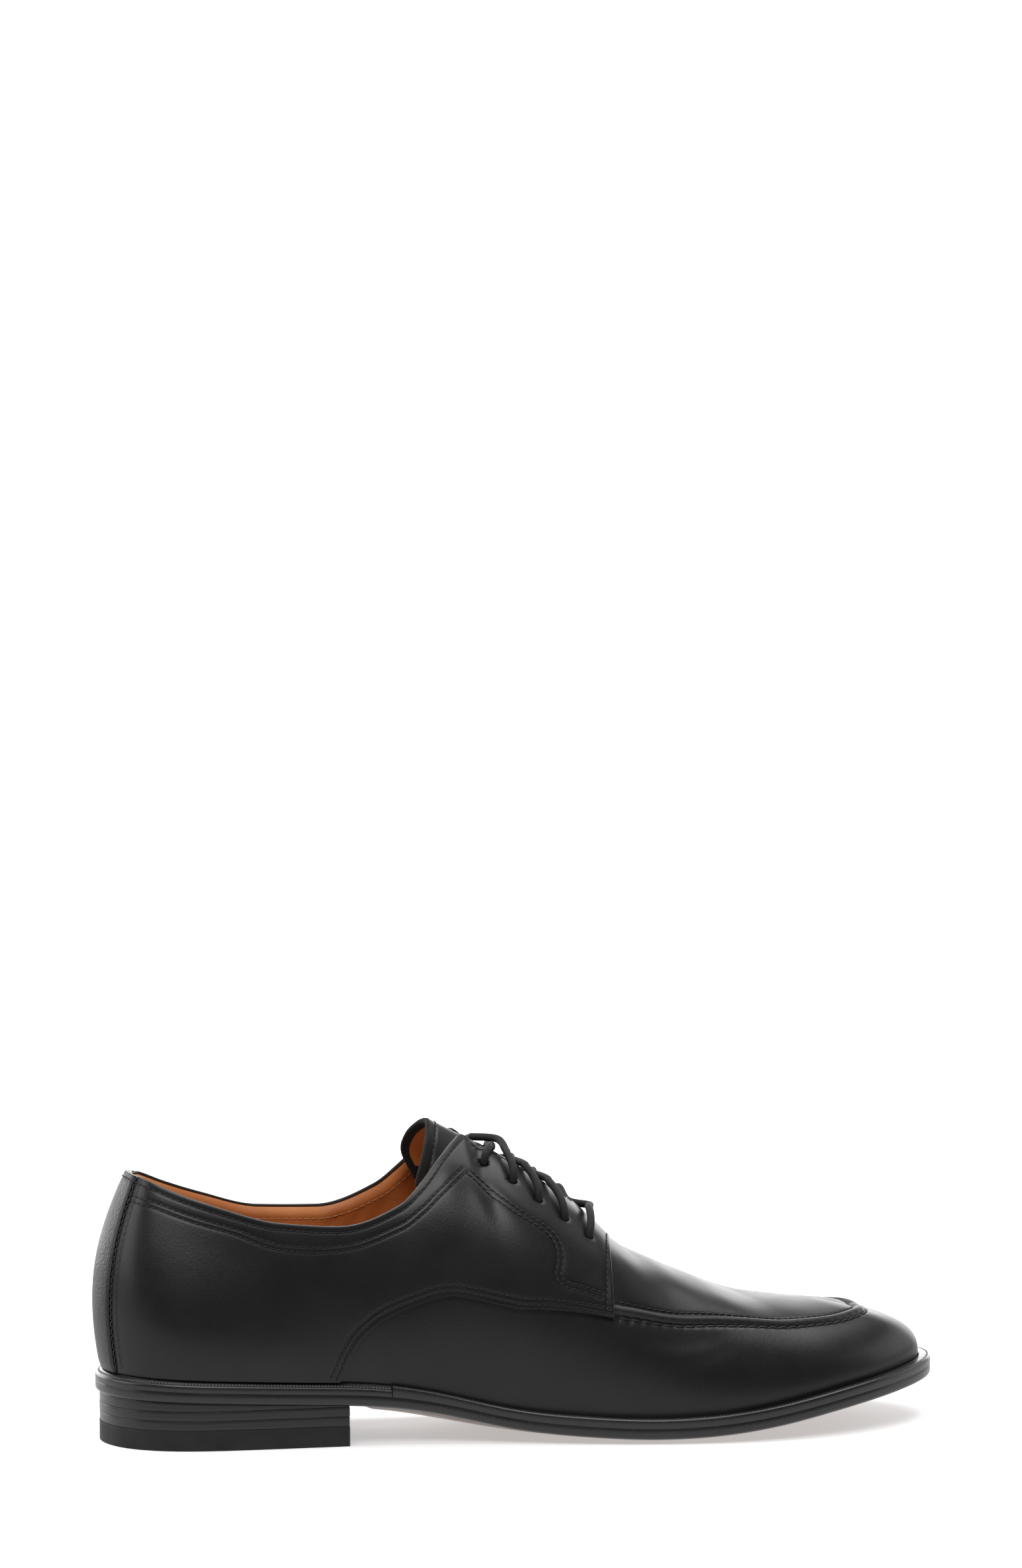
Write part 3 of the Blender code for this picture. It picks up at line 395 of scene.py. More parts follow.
def crown(station, inward):
    """How far the sole's underside hangs below its edge, at a share of the way in."""
    past_breast = (EDGE_X(station) * SOLE_LENGTH - HEEL_LENGTH) / 0.010
    waist = smooth_step(past_breast) * (1 - smooth_step(station, 5.5, 3.0))
    depth = WAIST_CROWN * waist + 1.25 * EDGE_LIFT * LIFTED(station)
    return depth * (1 - (1 - inward) ** 2)


def axis_point(station):
    """Plan point on the sole's long axis that a station runs in to."""
    x = EDGE_X(station) * SOLE_LENGTH
    heel, toe = 0.085 * SOLE_LENGTH, 0.905 * SOLE_LENGTH
    soft = 0.030
    x = heel + soft * np.logaddexp(0, (x - heel) / soft)
    x = toe - soft * np.logaddexp(0, (toe - x) / soft)
    return np.stack([x, np.zeros_like(x)], -1)


def feather(side, station, inset=0.0):
    """Plan point where the upper's outer face meets the sole."""
    return sole_edge(side, station, REACH(station) * WELT_REACH + inset)


def top_edge(side, station):
    side = np.asarray(side)
    y = np.where(side < 0, -TOP_Y[-1](station), TOP_Y[1](station)) * HALF_BALL
    z = np.where(side < 0, TOP_Z[-1](station), TOP_Z[1](station)) * INSTEP_HEIGHT
    return np.stack([TOP_X(station) * SOLE_LENGTH, y, z], -1)


def soft_top(side):
    """The top edge without its corner at the facing, which the wall below follows."""
    way = -1 if side < 0 else 1
    x, y, z = (softened(curve, 1.1) for curve in (TOP_X, TOP_Y[way], TOP_Z[way]))
    sizes = np.array([SOLE_LENGTH, side * HALF_BALL, INSTEP_HEIGHT])
    return lambda station: np.stack([x(station), y(station), z(station)], -1) * sizes


SOFT_TOP = {-1: soft_top(-1.0), 1: soft_top(1.0)}


def ridge_fall(side):
    """How steeply the ridge falls forward, from the facing's corner on."""

    def at(station):
        station = np.clip(station, 1, LAST_STATION - 1.2 * RIDGE_STEP)
        ahead, behind = top_edge(side, station + RIDGE_STEP), top_edge(side, station - RIDGE_STEP)
        slope = (ahead - behind)[..., 2] / (ahead - behind)[..., 0]
        return smooth_step(station, FALL_STATION, RIDGE_STATION - FALL_STATION) * np.clip(slope, -1, 0)

    return softened(at, 0.6)


RIDGE_FALL = {-1: ridge_fall(-1.0), 1: ridge_fall(1.0)}


def wall_point(side, station, rise):
    """Point of the last's form: rise is 0 at the welt and 1 at the top edge."""
    side, station, rise = np.broadcast_arrays(side, np.asarray(station, float), np.asarray(rise, float))
    plan, outward = feather(side, station)
    low = np.concatenate([plan, (seat_height(station) + rim_height(station))[..., None]], -1)
    sharp = top_edge(side, station)
    soft = np.where((side < 0)[..., None], SOFT_TOP[-1](station), SOFT_TOP[1](station))
    near_corner = smooth_step(station, *SOFT_FROM) * (1 - smooth_step(station, *SOFT_TO))
    high = sharp + (soft - sharp) * (near_corner * (1 - smooth_step(rise, *SOFT_BELOW)))[..., None]
    reach = np.linalg.norm(high - low, axis=-1)[..., None]
    out = np.concatenate([outward, np.zeros_like(outward[..., :1])], -1)
    up = np.array([0, 0, 1.0])
    lean, slope = np.radians(LEAN(station))[..., None], np.radians(TOP_SLOPE(station))[..., None]
    fall = (np.where(side < 0, RIDGE_FALL[-1](station), RIDGE_FALL[1](station)) * out[..., 0])[..., None]
    first = low + reach * LOWER_HANDLE(station)[..., None] * (out * np.sin(lean) + up * np.cos(lean))
    arrive = out * np.cos(slope) + up * (fall - np.sin(slope))
    second = high + reach * UPPER_HANDLE(station)[..., None] * arrive
    t = rise[..., None]
    s = 1 - t
    return s**3 * low + 3 * s * s * t * first + 3 * s * t * t * second + t**3 * high


def climb(side, station, rise, step=1e-3):
    """How the form runs up its wall at a place, for each share."""
    return (wall_point(side, station, rise + step) - wall_point(side, station, rise - step)) / (2 * step)


def wall_normal(side, station, rise):
    """Unit normal of that form, pointing out."""
    step = 2e-3
    side, station, rise = np.broadcast_arrays(side, np.asarray(station, float), np.asarray(rise, float))
    ridge = rise > 0.999
    rise = np.where(ridge, 0.98, rise)
    before = np.clip(station - step, 0, LAST_STATION)
    after = np.clip(station + step, 0, LAST_STATION)
    along = wall_point(side, after, rise) - wall_point(side, before, rise)
    normal = np.cross(climb(side, station, rise, step), along) * np.where(side < 0, -1, 1)[..., None]
    on_axis = (station < step) | (station > LAST_STATION - step) | (ridge & (station >= RIDGE_STATION))
    normal[..., 1] = np.where(on_axis, 0, normal[..., 1])
    return normal / np.linalg.norm(normal, axis=-1, keepdims=True)


def lifted(side, station, rise, lift):
    return wall_point(side, station, rise) + wall_normal(side, station, rise) * np.asarray(lift)[..., None]


def share_at_width(side, station, width):
    """Share up the wall at which it comes this near to the long axis, or 1 where it never does."""
    side, station, width = np.broadcast_arrays(side, np.asarray(station, float), np.asarray(width, float))
    low, high = np.full(station.shape, 0.5), np.ones(station.shape)
    for _ in range(26):
        middle = (low + high) / 2
        wide = np.abs(wall_point(side, station, middle)[..., 1]) > width
        low, high = np.where(wide, middle, low), np.where(wide, high, middle)
    return np.where((high > 0.9999) | (station < FACING_STATION), 1.0, high)


def throat_share(side, station):
    """Share up the wall of the upper's edge: the topline, the throat's edge, then the ridge."""
    narrowing = smooth_step(station, THROAT_STATION - THROAT_ROUNDING, THROAT_ROUNDING)
    share = share_at_width(side, station, FACING_GAP / 2 * np.sqrt(1 - narrowing))
    return np.where(np.asarray(station) >= THROAT_STATION, 1.0, share)


def run_along(points):
    """Length along a line of points, from its start to each."""
    return np.concatenate([[0], np.cumsum(np.linalg.norm(np.diff(points, axis=0), axis=1))])


def even_stations(first, last, spacing, share=0.45):
    """Stations from first to last that lie evenly along the lateral wall."""
    fine = np.linspace(first, last, 800)
    run = run_along(wall_point(-1.0, fine, share))
    return np.interp(np.linspace(0, run[-1], int(run[-1] / spacing) + 1), run, fine)


def even_points(points, step):
    """The same line with points an even step apart. Columns after the first three only follow."""
    run = run_along(points[:, :3])
    at = np.linspace(0, run[-1], max(int(run[-1] / step), 2) + 1)
    return np.stack([np.interp(at, run, points[:, axis]) for axis in range(points.shape[1])], -1)


def smooth_line(points, steps):
    """A smooth curve through the given points."""
    points = np.asarray(points, float)
    padded = np.concatenate([[2 * points[0] - points[1]], points, [2 * points[-1] - points[-2]]])
    a, b, c, d = (padded[i : len(padded) - 3 + i, None] for i in range(4))
    shape = (1, steps) + (1,) * (points.ndim - 1)
    t = (np.arange(steps) / steps).reshape(shape)
    bend = (2 * a - 5 * b + 4 * c - d) * t**2 + (3 * b - 3 * c + d - a) * t**3
    path = ((2 * b + (c - a) * t + bend) / 2).reshape((-1,) + points.shape[1:])
    return np.concatenate([path, points[-1:]])


def on_form(side, places, lift=0.0):
    """An even line over the form through places (station, share): points, normals, stations and shares."""
    line = smooth_line(places, 12)
    line = line[np.concatenate([[True], np.any(np.diff(line, axis=0) != 0, axis=1)])]
    path = wall_point(side, line[:, 0], line[:, 1])
    station, rise = even_points(np.column_stack([path, line]), LINE_STEP)[:, 3:].T
    rise = np.clip(rise, 0, 1)
    return lifted(side, station, rise, lift), wall_normal(side, station, rise), station, rise


def tree_of(points):
    tree = mathutils.kdtree.KDTree(len(points))
    for index, point in enumerate(points):
        tree.insert(point, index)
    tree.balance()
    return tree


GRID_STATION, GRID_RISE = np.meshgrid(np.linspace(0, LAST_STATION, 241), np.linspace(0, 1, 71), indexing="ij")
TREES = {side: tree_of(wall_point(side, GRID_STATION, GRID_RISE).reshape(-1, 3)) for side, _ in SIDES}


def nearest(side, points):
    """Stations and shares of the places on the form that lie nearest to the points."""
    found = np.array([TREES[side].find(point)[1] for point in points])
    station, rise = GRID_STATION.ravel()[found], GRID_RISE.ravel()[found]
    step = 1e-3
    for _ in range(5):
        away = points - wall_point(side, station, rise)
        u = (wall_point(side, station + step, rise) - wall_point(side, station - step, rise)) / (2 * step)
        v = climb(side, station, rise, step)
        uu, vv, uv = (u * u).sum(-1), (v * v).sum(-1), (u * v).sum(-1)
        ua, va = (u * away).sum(-1), (v * away).sum(-1)
        scale = np.maximum(uu * vv - uv * uv, 1e-12)
        station = np.clip(station + np.clip((ua * vv - va * uv) / scale, -0.2, 0.2), 0, LAST_STATION)
        rise = np.clip(rise + np.clip((va * uu - ua * uv) / scale, -0.1, 0.1), 0, 1)
    return station, rise


def beside(side, line, distance, lift=0.0):
    """A line on the form that runs beside another one, to its left seen from outside."""
    points, normals = line[0], line[1]
    along = np.gradient(points, axis=0)
    along /= np.linalg.norm(along, axis=1, keepdims=True)
    places = nearest(side, points + np.cross(normals, along) * distance)
    reach = AVERAGED // 2
    for values in places:
        soft = np.convolve(np.pad(values, reach, mode="edge"), np.ones(AVERAGED) / AVERAGED, mode="valid")
        values[reach:-reach] = soft[reach:-reach]
    station, rise = even_points(np.column_stack([wall_point(side, *places), *places]), LINE_STEP)[:, 3:].T
    return lifted(side, station, rise, lift), wall_normal(side, station, rise), station, rise


def to_world(points):
    return np.asarray(points, float) - np.array([ORIGIN_X, 0, 0])


def add_grid(bm, points):
    """Adds a grid bent to an array of points [row, column], in the sole's frame."""
    rows, columns = points.shape[:2]
    layer = bm.loops.layers.uv.get("flat") or bm.loops.layers.uv.new("flat")
    verts = bmesh.ops.create_grid(bm, x_segments=columns - 1, y_segments=rows - 1, size=0.5)["verts"]
    flat = np.array([vert.co[:2] for vert in verts]) + 0.5
    place = np.rint(flat * (columns - 1, rows - 1)).astype(int)
    lookup = {}
    for vert, share, point in zip(verts, flat, to_world(points)[place[:, 1], place[:, 0]]):
        vert.co = point
        lookup[vert] = share
    for face in {face for vert in verts for face in vert.link_faces}:
        for loop in face.loops:
            loop[layer].uv = lookup[loop.vert]
    return verts


def grids(*many):
    bm = bmesh.new()
    for points in many:
        add_grid(bm, points)
    return bm


def distance_to(points, line):
    """Distance from each point to the nearest point of the line."""
    tree = tree_of(line)
    return np.array([tree.find(point)[2] for point in points.reshape(-1, 3)]).reshape(points.shape[:-1])


def pressed(points, normals, line, depth, width):
    """Points pushed in beside a line, deepest on it."""
    sunk = depth * np.exp(-((distance_to(points, line) / width) ** 2))
    return points - normals * sunk[..., None]


def tube(path, radius, sides=10, up=(0, 0, 1), flat=1.0):
    """A closed tube's points [ring, place round it] along a path, its ends drawn together."""
    path = np.asarray(path, float)
    along = np.gradient(path, axis=0)
    along /= np.linalg.norm(along, axis=1, keepdims=True)
    up = np.broadcast_to(np.asarray(up, float), path.shape)
    first = np.cross(along, up)
    first /= np.linalg.norm(first, axis=1, keepdims=True)
    second = np.cross(first, along)
    angle = np.linspace(0, 2 * np.pi, sides + 1)[None, :, None]
    ring = np.cos(angle) * first[:, None] + flat * np.sin(angle) * second[:, None]
    rings = path[:, None] + np.reshape(radius, (-1, 1, 1)) * ring
    ends = [np.repeat(path[i][None, None], sides + 1, 1) for i in (0, -1)]
    return np.concatenate([ends[0], rings, ends[1]])


def stitches(line, pitch=STITCH_PITCH, radius=THREAD_RADIUS, sunk=0.6 * MM, proud=0.13 * MM, sides=6):
    """A row of lockstitches along a line: one thread that dips into the leather at every hole."""
    run = run_along(line[0])
    count = max(round(run[-1] / pitch), 1)
    at = np.linspace(0, run[-1], count * 6 + 1)
    centre, normal = (np.stack([np.interp(at, run, values[:, axis]) for axis in range(3)], -1) for values in line[:2])
    dip = ((1 + np.cos(np.linspace(0, 2 * np.pi * count, len(at)))) / 2) ** 5
    return tube(centre + normal * (proud - (proud + sunk) * dip)[:, None], radius, sides, normal)


def stitch_holes(line, pitch=STITCH_PITCH, values=0):
    """A row's holes, or with values=1 the normals there."""
    run = run_along(line[0])
    at = np.linspace(0, run[-1], max(round(run[-1] / pitch), 1) + 1)
    return np.stack([np.interp(at, run, line[values][:, axis]) for axis in range(3)], -1)


def add_pinhole_shade(bm, line, radius=0.36 * MM, depth=0.1 * MM):
    """A small disc of painted shade, sunk a little, at each of a row's holes."""
    for place, normal in zip(to_world(stitch_holes(line)), stitch_holes(line, values=1)):
        turn = mathutils.Vector(normal).to_track_quat("Z", "Y").to_matrix().to_4x4()
        turn.translation = mathutils.Vector(place - normal * depth)
        bmesh.ops.create_circle(bm, cap_ends=True, segments=8, radius=radius, matrix=turn)


def new_object(name, bm, look):
    mesh = bpy.data.meshes.new(name)
    bm.to_mesh(mesh)
    bm.free()
    mesh.materials.append(look)
    obj = bpy.data.objects.new(name, mesh)
    bpy.context.scene.collection.objects.link(obj)
    return obj


def piece(name, bm, look, node, outward=None, wall=0.0, bevel=0.0):
    """Makes the bmesh a piece that stands for a solid. It faces away from the point outward."""
    bmesh.ops.remove_doubles(bm, verts=bm.verts, dist=DOUBLES)
    bmesh.ops.recalc_face_normals(bm, faces=bm.faces)
    if outward is not None:
        bm.normal_update()
        away = ((face.calc_center_median() - outward).dot(face.normal) * face.calc_area() for face in bm.faces)
        if sum(away) < 0:
            bmesh.ops.reverse_faces(bm, faces=bm.faces)
    obj = new_object(name, bm, look)
    obj.data.shade_smooth()
    obj.data.set_sharp_from_angle(angle=SHARP_ANGLE)
    if wall:
        shell = obj.modifiers.new("wall", "SOLIDIFY")
        shell.thickness = wall
        shell.offset = -1
    if bevel:
        edge = obj.modifiers.new("edge", "BEVEL")
        edge.width = bevel
        edge.segments = 2
        edge.limit_method = "ANGLE"
        edge.angle_limit = SHARP_ANGLE
    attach(obj, "root")
    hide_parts(node)


# Materials
def new_look(name, colour, roughness, coat=0.0, coat_roughness=0.2):
    made = bpy.data.materials.new(name)
    made.use_nodes = True
    shader = made.node_tree.nodes["Principled BSDF"]
    shader.inputs["Base Color"].default_value = (*colour, 1)
    shader.inputs["Roughness"].default_value = roughness
    shader.inputs["Coat Weight"].default_value = coat
    shader.inputs["Coat Roughness"].default_value = coat_roughness
    return made, shader


def texture(made, kind, scale, stretch=None, **settings):
    """A texture on the object's own coordinates."""
    nodes, links = made.node_tree.nodes, made.node_tree.links
    place = nodes.new("ShaderNodeTexCoord")
    made_node = nodes.new(kind)
    if scale:
        made_node.inputs["Scale"].default_value = scale
    for key, value in settings.items():
        if key in made_node.inputs:
            made_node.inputs[key].default_value = value
        else:
            setattr(made_node, key, value)
    if stretch is None:
        links.new(place.outputs["Object"], made_node.inputs["Vector"])
    else:
        mapping = nodes.new("ShaderNodeMapping")
        mapping.inputs["Scale"].default_value = stretch
        links.new(place.outputs["Object"], mapping.inputs["Vector"])
        links.new(mapping.outputs["Vector"], made_node.inputs["Vector"])
    return made_node


def ramp(made, source, low, high, out_low, out_high):
    """The source's value carried from one range to another."""
    nodes, links = made.node_tree.nodes, made.node_tree.links
    change = nodes.new("ShaderNodeMapRange")
    change.inputs["From Min"].default_value = low
    change.inputs["From Max"].default_value = high
    change.inputs["To Min"].default_value = out_low
    change.inputs["To Max"].default_value = out_high
    links.new(source, change.inputs["Value"])
    return change.outputs["Result"]


def colours(made, source, *stops):
    """The source's value as a colour, by stops (value, colour)."""
    nodes, links = made.node_tree.nodes, made.node_tree.links
    band = nodes.new("ShaderNodeValToRGB")
    elements = band.color_ramp.elements
    while len(elements) < len(stops):
        elements.new(0.5)
    for element, (value, colour) in zip(elements, stops):
        element.position = value
        element.color = (*colour, 1)
    links.new(source, band.inputs["Fac"])
    return band.outputs["Color"]


def bumps(made, shader, *layers):
    """Lays bumps over one another: each layer is a height output, its depth in metres and its strength."""
    nodes, links = made.node_tree.nodes, made.node_tree.links
    before = None
    for height, depth, strength in layers:
        bump = nodes.new("ShaderNodeBump")
        bump.inputs["Distance"].default_value = depth
        bump.inputs["Strength"].default_value = strength
        links.new(height, bump.inputs["Height"])
        if before is not None:
            links.new(before, bump.inputs["Normal"])
        before = bump.outputs["Normal"]
    links.new(before, shader.inputs["Normal"])


def leather(name, dark, light, rough, grain, grain_depth, coat=0.25, pebble=0.0):
    """Finished leather: a fine grain, a slow play of tone and of gloss."""
    made, shader = new_look(name, light, sum(rough) / 2, coat, 0.28)
    links = made.node_tree.links
    slow = texture(made, "ShaderNodeTexNoise", 28, Detail=4, Roughness=0.55)
    links.new(colours(made, slow.outputs["Fac"], (0.35, dark), (0.65, light)), shader.inputs["Base Color"])
    gloss = texture(made, "ShaderNodeTexNoise", 60, Detail=5, Roughness=0.6)
    links.new(ramp(made, gloss.outputs["Fac"], 0.35, 0.65, *rough), shader.inputs["Roughness"])
    cells = texture(made, "ShaderNodeTexVoronoi", grain, feature="SMOOTH_F1", Smoothness=0.6)
    fine = texture(made, "ShaderNodeTexNoise", grain * 1.7, Detail=3)
    soft = texture(made, "ShaderNodeTexNoise", 90, Detail=3, Distortion=0.4)
    layers = [(soft.outputs["Fac"], 0.0006, 0.10), (fine.outputs["Fac"], grain_depth, 0.35)]
    layers.append((cells.outputs["Distance"], grain_depth, 0.35 + pebble))
    bumps(made, shader, *layers)
    return made


CALF = leather("calf", (0.0065, 0.0065, 0.007), (0.0105, 0.0102, 0.0107), (0.33, 0.40), 1400, 6e-5, coat=0.1)
CALF_PEBBLED = leather(
    "calf_pebbled", (0.009, 0.009, 0.0095), (0.014, 0.0135, 0.0135), (0.32, 0.42), 1050, 0.0002, coat=0.1, pebble=0.2
)
BEAD_LOOK = leather("calf_drawn", (0.007, 0.007, 0.0075), (0.011, 0.0105, 0.011), (0.42, 0.5), 1700, 8e-5, coat=0.1)
TAN = leather("lining_tan", (0.52, 0.165, 0.040), (0.68, 0.25, 0.068), (0.50, 0.62), 1300, 0.00012, coat=0.05)
SOCK = leather("sock_tan", (0.30, 0.09, 0.02), (0.44, 0.15, 0.036), (0.48, 0.62), 1200, 0.0001, coat=0.05)
# Black matte edge ink for the tongue's raw edge; the same colour serves as painted shade in the stitch holes.
RAW_EDGE_AND_HOLE_SHADE = leather(
    "raw_edge_and_hole_shade", (0.003, 0.003, 0.003), (0.008, 0.0075, 0.007), (0.75, 0.9), 1500, 0.0003, coat=0.0, pebble=0.4
)
SOLE_BROWN = leather("sole_leather", (0.20, 0.075, 0.035), (0.32, 0.14, 0.065), (0.34, 0.5), 700, 0.0001)
GROOVE_BLACK = leather(
    "blacked_edge", (0.007, 0.0065, 0.0065), (0.014, 0.013, 0.013), (0.24, 0.34), 900, 8e-5, coat=0.6
)
# Lighter than the blacked edge: partly worn ink on the fudged line, partly a painted glint.
WORN_EDGE_AND_GLINT = leather("fudged_edge_and_painted_glint", (0.03, 0.028, 0.026), (0.10, 0.094, 0.088), (0.38, 0.5), 900, 0.0001, coat=0.3)


def stacked_leather():
    """Blacked heel leather with its fibres lying flat in it."""
    made, shader = new_look("heel_stack", (0.012, 0.011, 0.011), 0.33, 0.45, 0.22)
    links = made.node_tree.links
    lie = texture(made, "ShaderNodeTexNoise", 1.0, (18, 18, 900), Detail=5, Roughness=0.7, Distortion=0.3)
    cracks = texture(made, "ShaderNodeTexNoise", 1.0, (9, 9, 420), Detail=2, Roughness=0.5, Distortion=0.8)
    tone = colours(made, lie.outputs["Fac"], (0.35, (0.006, 0.0055, 0.0055)), (0.68, (0.019, 0.018, 0.0175)))
    links.new(tone, shader.inputs["Base Color"])
    links.new(ramp(made, lie.outputs["Fac"], 0.3, 0.7, 0.27, 0.46), shader.inputs["Roughness"])
    depth = ramp(made, cracks.outputs["Fac"], 0.34, 0.42, 0.0, 1.0)
    bumps(made, shader, (lie.outputs["Fac"], 0.0003, 0.55), (depth, 0.0003, 0.5))
    return made


def rubber():
    made, shader = new_look("rubber", (0.016, 0.016, 0.017), 0.62)
    fine = texture(made, "ShaderNodeTexNoise", 1600, Detail=4)
    wide = texture(made, "ShaderNodeTexNoise", 120, Detail=3)
    made.node_tree.links.new(ramp(made, wide.outputs["Fac"], 0.3, 0.7, 0.52, 0.72), shader.inputs["Roughness"])
    bumps(made, shader, (fine.outputs["Fac"], 0.0001, 0.3))
    return made


def thread(name, colour, roughness=0.55):
    made, shader = new_look(name, colour, roughness)
    twist = texture(made, "ShaderNodeTexNoise", 3500, Detail=2)
    bumps(made, shader, (twist.outputs["Fac"], 0.0001, 0.5))
    return made


CORD_WEAVE = (9.0, 9.0, 1)


def waxed_cord():
    """A round braid: its strands cross at a slant round the cord."""
    made, shader = new_look("waxed_cord", (0.006, 0.006, 0.007), 0.66, 0.03, 0.4)
    nodes, links = made.node_tree.nodes, made.node_tree.links
    place = nodes.new("ShaderNodeUVMap")
    place.uv_map = "flat"
    heights = []
    for slant in (1, -1):
        mapping = nodes.new("ShaderNodeMapping")
        mapping.inputs["Rotation"].default_value = (0, 0, slant * 0.72)
        mapping.inputs["Scale"].default_value = CORD_WEAVE
        wave = nodes.new("ShaderNodeTexWave")
        wave.inputs["Scale"].default_value = 1.0
        wave.inputs["Distortion"].default_value = 0.6
        links.new(place.outputs["UV"], mapping.inputs["Vector"])
        links.new(mapping.outputs["Vector"], wave.inputs["Vector"])
        heights.append(wave.outputs["Fac"])
    fibres = texture(made, "ShaderNodeTexNoise", 2400, Detail=3)
    bumps(made, shader, (heights[0], 0.0003, 0.3), (heights[1], 0.0003, 0.3), (fibres.outputs["Fac"], 0.0002, 0.5))
    return made


# Lighter than the calf: partly the cut edges' own tone and wear, partly a painted glint along the topline and the
# front edge.
RIM_EDGE_AND_GLINT = leather("cut_edge_and_painted_glint", (0.03, 0.028, 0.026), (0.09, 0.085, 0.08), (0.24, 0.34), 1500, 0.0001, coat=0.4)
HEEL_STACK = stacked_leather()
RUBBER = rubber()
# Black thread coloured a lighter grey than the leather: the grey is a painted sheen for its glints.
THREAD = thread("thread_black_and_painted_sheen", (0.035, 0.035, 0.037), 0.45)
THREAD_TAN = thread("thread_tan", (0.50, 0.27, 0.12))
CORD = waxed_cord()


def sided(station):
    """Sides and stations of a run down the lateral side and back up the medial one."""
    side = np.concatenate([np.full(len(station), -1.0), np.ones(len(station) - 1)])
    return side, np.concatenate([station, station[-2::-1]])


def both_ways(first, spacing, share=0.45):
    """Columns of sides and stations, from a lateral station round the toe to its medial twin."""
    side, station = sided(even_stations(first, LAST_STATION, spacing, share))
    return side[:, None], station[:, None]


def height_under(plan, height):
    """Plan points with their height."""
    return np.concatenate([plan, np.broadcast_to(height, plan.shape[:-1])[..., None]], -1)


def edge_rows(side, station, profile):
    """Rows along the sole's edge, one for each pair (inset, height) of the profile."""
    return np.stack([height_under(sole_edge(side, station, inset)[0], height) for inset, height in profile], 1)


# Sole
def outsole():
    side, station = sided(even_stations(0.0, LAST_STATION, 1.0 * MM))
    low, high = edge_bottom(station), seat_height(station)
    rim = [(9 * MM, high), (0.3 * MM, high), (0.06 * MM, high - 0.05 * MM), (0, high - 0.2 * MM)]
    rim += [(0, low + 2.4 * MM), (0, low + 1.6 * MM), (0.1 * MM, low + 1.0 * MM), (0.45 * MM, low + 0.45 * MM)]
    rim += [(1.0 * MM, low + 0.12 * MM), (1.8 * MM, low)]
    piece("outsole_edge", grids(edge_rows(side, station, rim)), GROOVE_BLACK, "outsole", INSIDE)
    outline = sole_edge(side, station, 1.3 * MM)[0]
    middle = axis_point(station)
    rows = []
    for inward in np.concatenate([np.linspace(0, 0.3, 22), np.linspace(0.34, 1, 24)]):
        plan = outline + (middle - outline) * inward
        off_channel = np.linalg.norm(plan - outline, axis=-1) - CHANNEL_INSET
        channel = CHANNEL_DEPTH * np.exp(-((off_channel / CHANNEL_WIDTH) ** 2))
        rows.append(height_under(plan, np.maximum(low - crown(station, inward), 0) + channel))
    piece("outsole_underside", grids(np.stack(rows, 1)), SOLE_BROWN, "outsole", INSIDE)


def breast_station():
    """Station at which the sole's edge is as far forward as the heel's breast."""
    low, high = 3.0, 6.0
    for _ in range(40):
        middle = (low + high) / 2
        if EDGE_X(middle) * SOLE_LENGTH < HEEL_LENGTH:
            low = middle
        else:
            high = middle
    return low


BREAST = breast_station()


def heel_layer(name, node, look, bottom, top, inset=0.0):
    """One layer of the heel, its edges a little rounded. Bottom and top are functions of the station."""
    side, station = sided(even_stations(0.0, BREAST, 1.0 * MM, 0.0)[::-1])
    plan = sole_edge(side, station, HEEL_INSET + inset)[0]
    plan[:, 0] = np.minimum(plan[:, 0], HEEL_LENGTH - inset)
    front = np.linspace(plan[-1], plan[0], 40)[1:]
    plan = np.concatenate([plan, front])
    station = np.concatenate([station, np.full(len(front), BREAST)])
    low, high = bottom(station), top(station)
    centre = np.array([0.45 * HEEL_LENGTH, 0.0])
    middle, half_way = np.repeat(centre[None], len(plan), 0), centre + (plan - centre) * 0.45
    inward = (centre - plan) / np.linalg.norm(plan - centre, axis=1, keepdims=True)
    rows = [height_under(middle, low.mean()), height_under(half_way, low)]
    for pull, share, raised in LAYER_EDGE:
        rows.append(height_under(plan + inward * pull * MM, low + (high - low) * share + raised * MM))
    rows += [height_under(half_way, high), height_under(middle, high.mean())]
    piece(name, grids(np.stack(rows, 1)), look, node, mathutils.Vector(to_world((*centre, HEEL_HEIGHT / 2))))


def flat(height):
    return lambda station: np.full(station.shape, height)


def heel():
    heel_layer("top_lift_rubber", "top_lift", RUBBER, flat(0.0), flat(TOP_LIFT))
    foot = TOP_LIFT + LIFT_GAP
    for label, node, inset in (("low", "heel_lift_1", 0.1 * MM), ("middle", "heel_lift_2", 0.04 * MM)):
        heel_layer(f"heel_lift_{label}", node, HEEL_STACK, flat(foot - GAP_FILL), flat(foot + LIFT), inset)
        foot += LIFT + LIFT_GAP
    wedge_top = lambda station: edge_bottom(station) + 0.1 * MM
    heel_layer("heel_lift_wedge", "heel_wedge", HEEL_STACK, flat(foot - GAP_FILL), wedge_top, 0.12 * MM)


def strip(name, node, station, slanted):
    """The welt or the rand, with its crease against the upper."""
    side, station = sided(station)
    seat, top = seat_height(station), seat_height(station) + rim_height(station)
    inner = REACH(station) * WELT_REACH - 0.1 * MM
    drop = slanted * STRIP_DROP * MM
    profile = [(inner, seat), (0.5 * MM, seat), (0.06 * MM, seat + 0.05 * MM), (0, seat + 0.2 * MM)]
    profile += [(inset * MM, top - drop - below * MM) for inset, below in STRIP_ROUNDING]
    profile += [(inset * MM, top - drop * share) for inset, share in ((1.2, 0.8), (1.9, 0.45), (2.5, 0.15))]
    profile += [(inner - inset * MM, top - below * MM) for inset, below in STRIP_CREASE]
    profile += [(inner, seat)]
    piece(name, grids(edge_rows(side, station, profile)), GROOVE_BLACK, node, INSIDE)


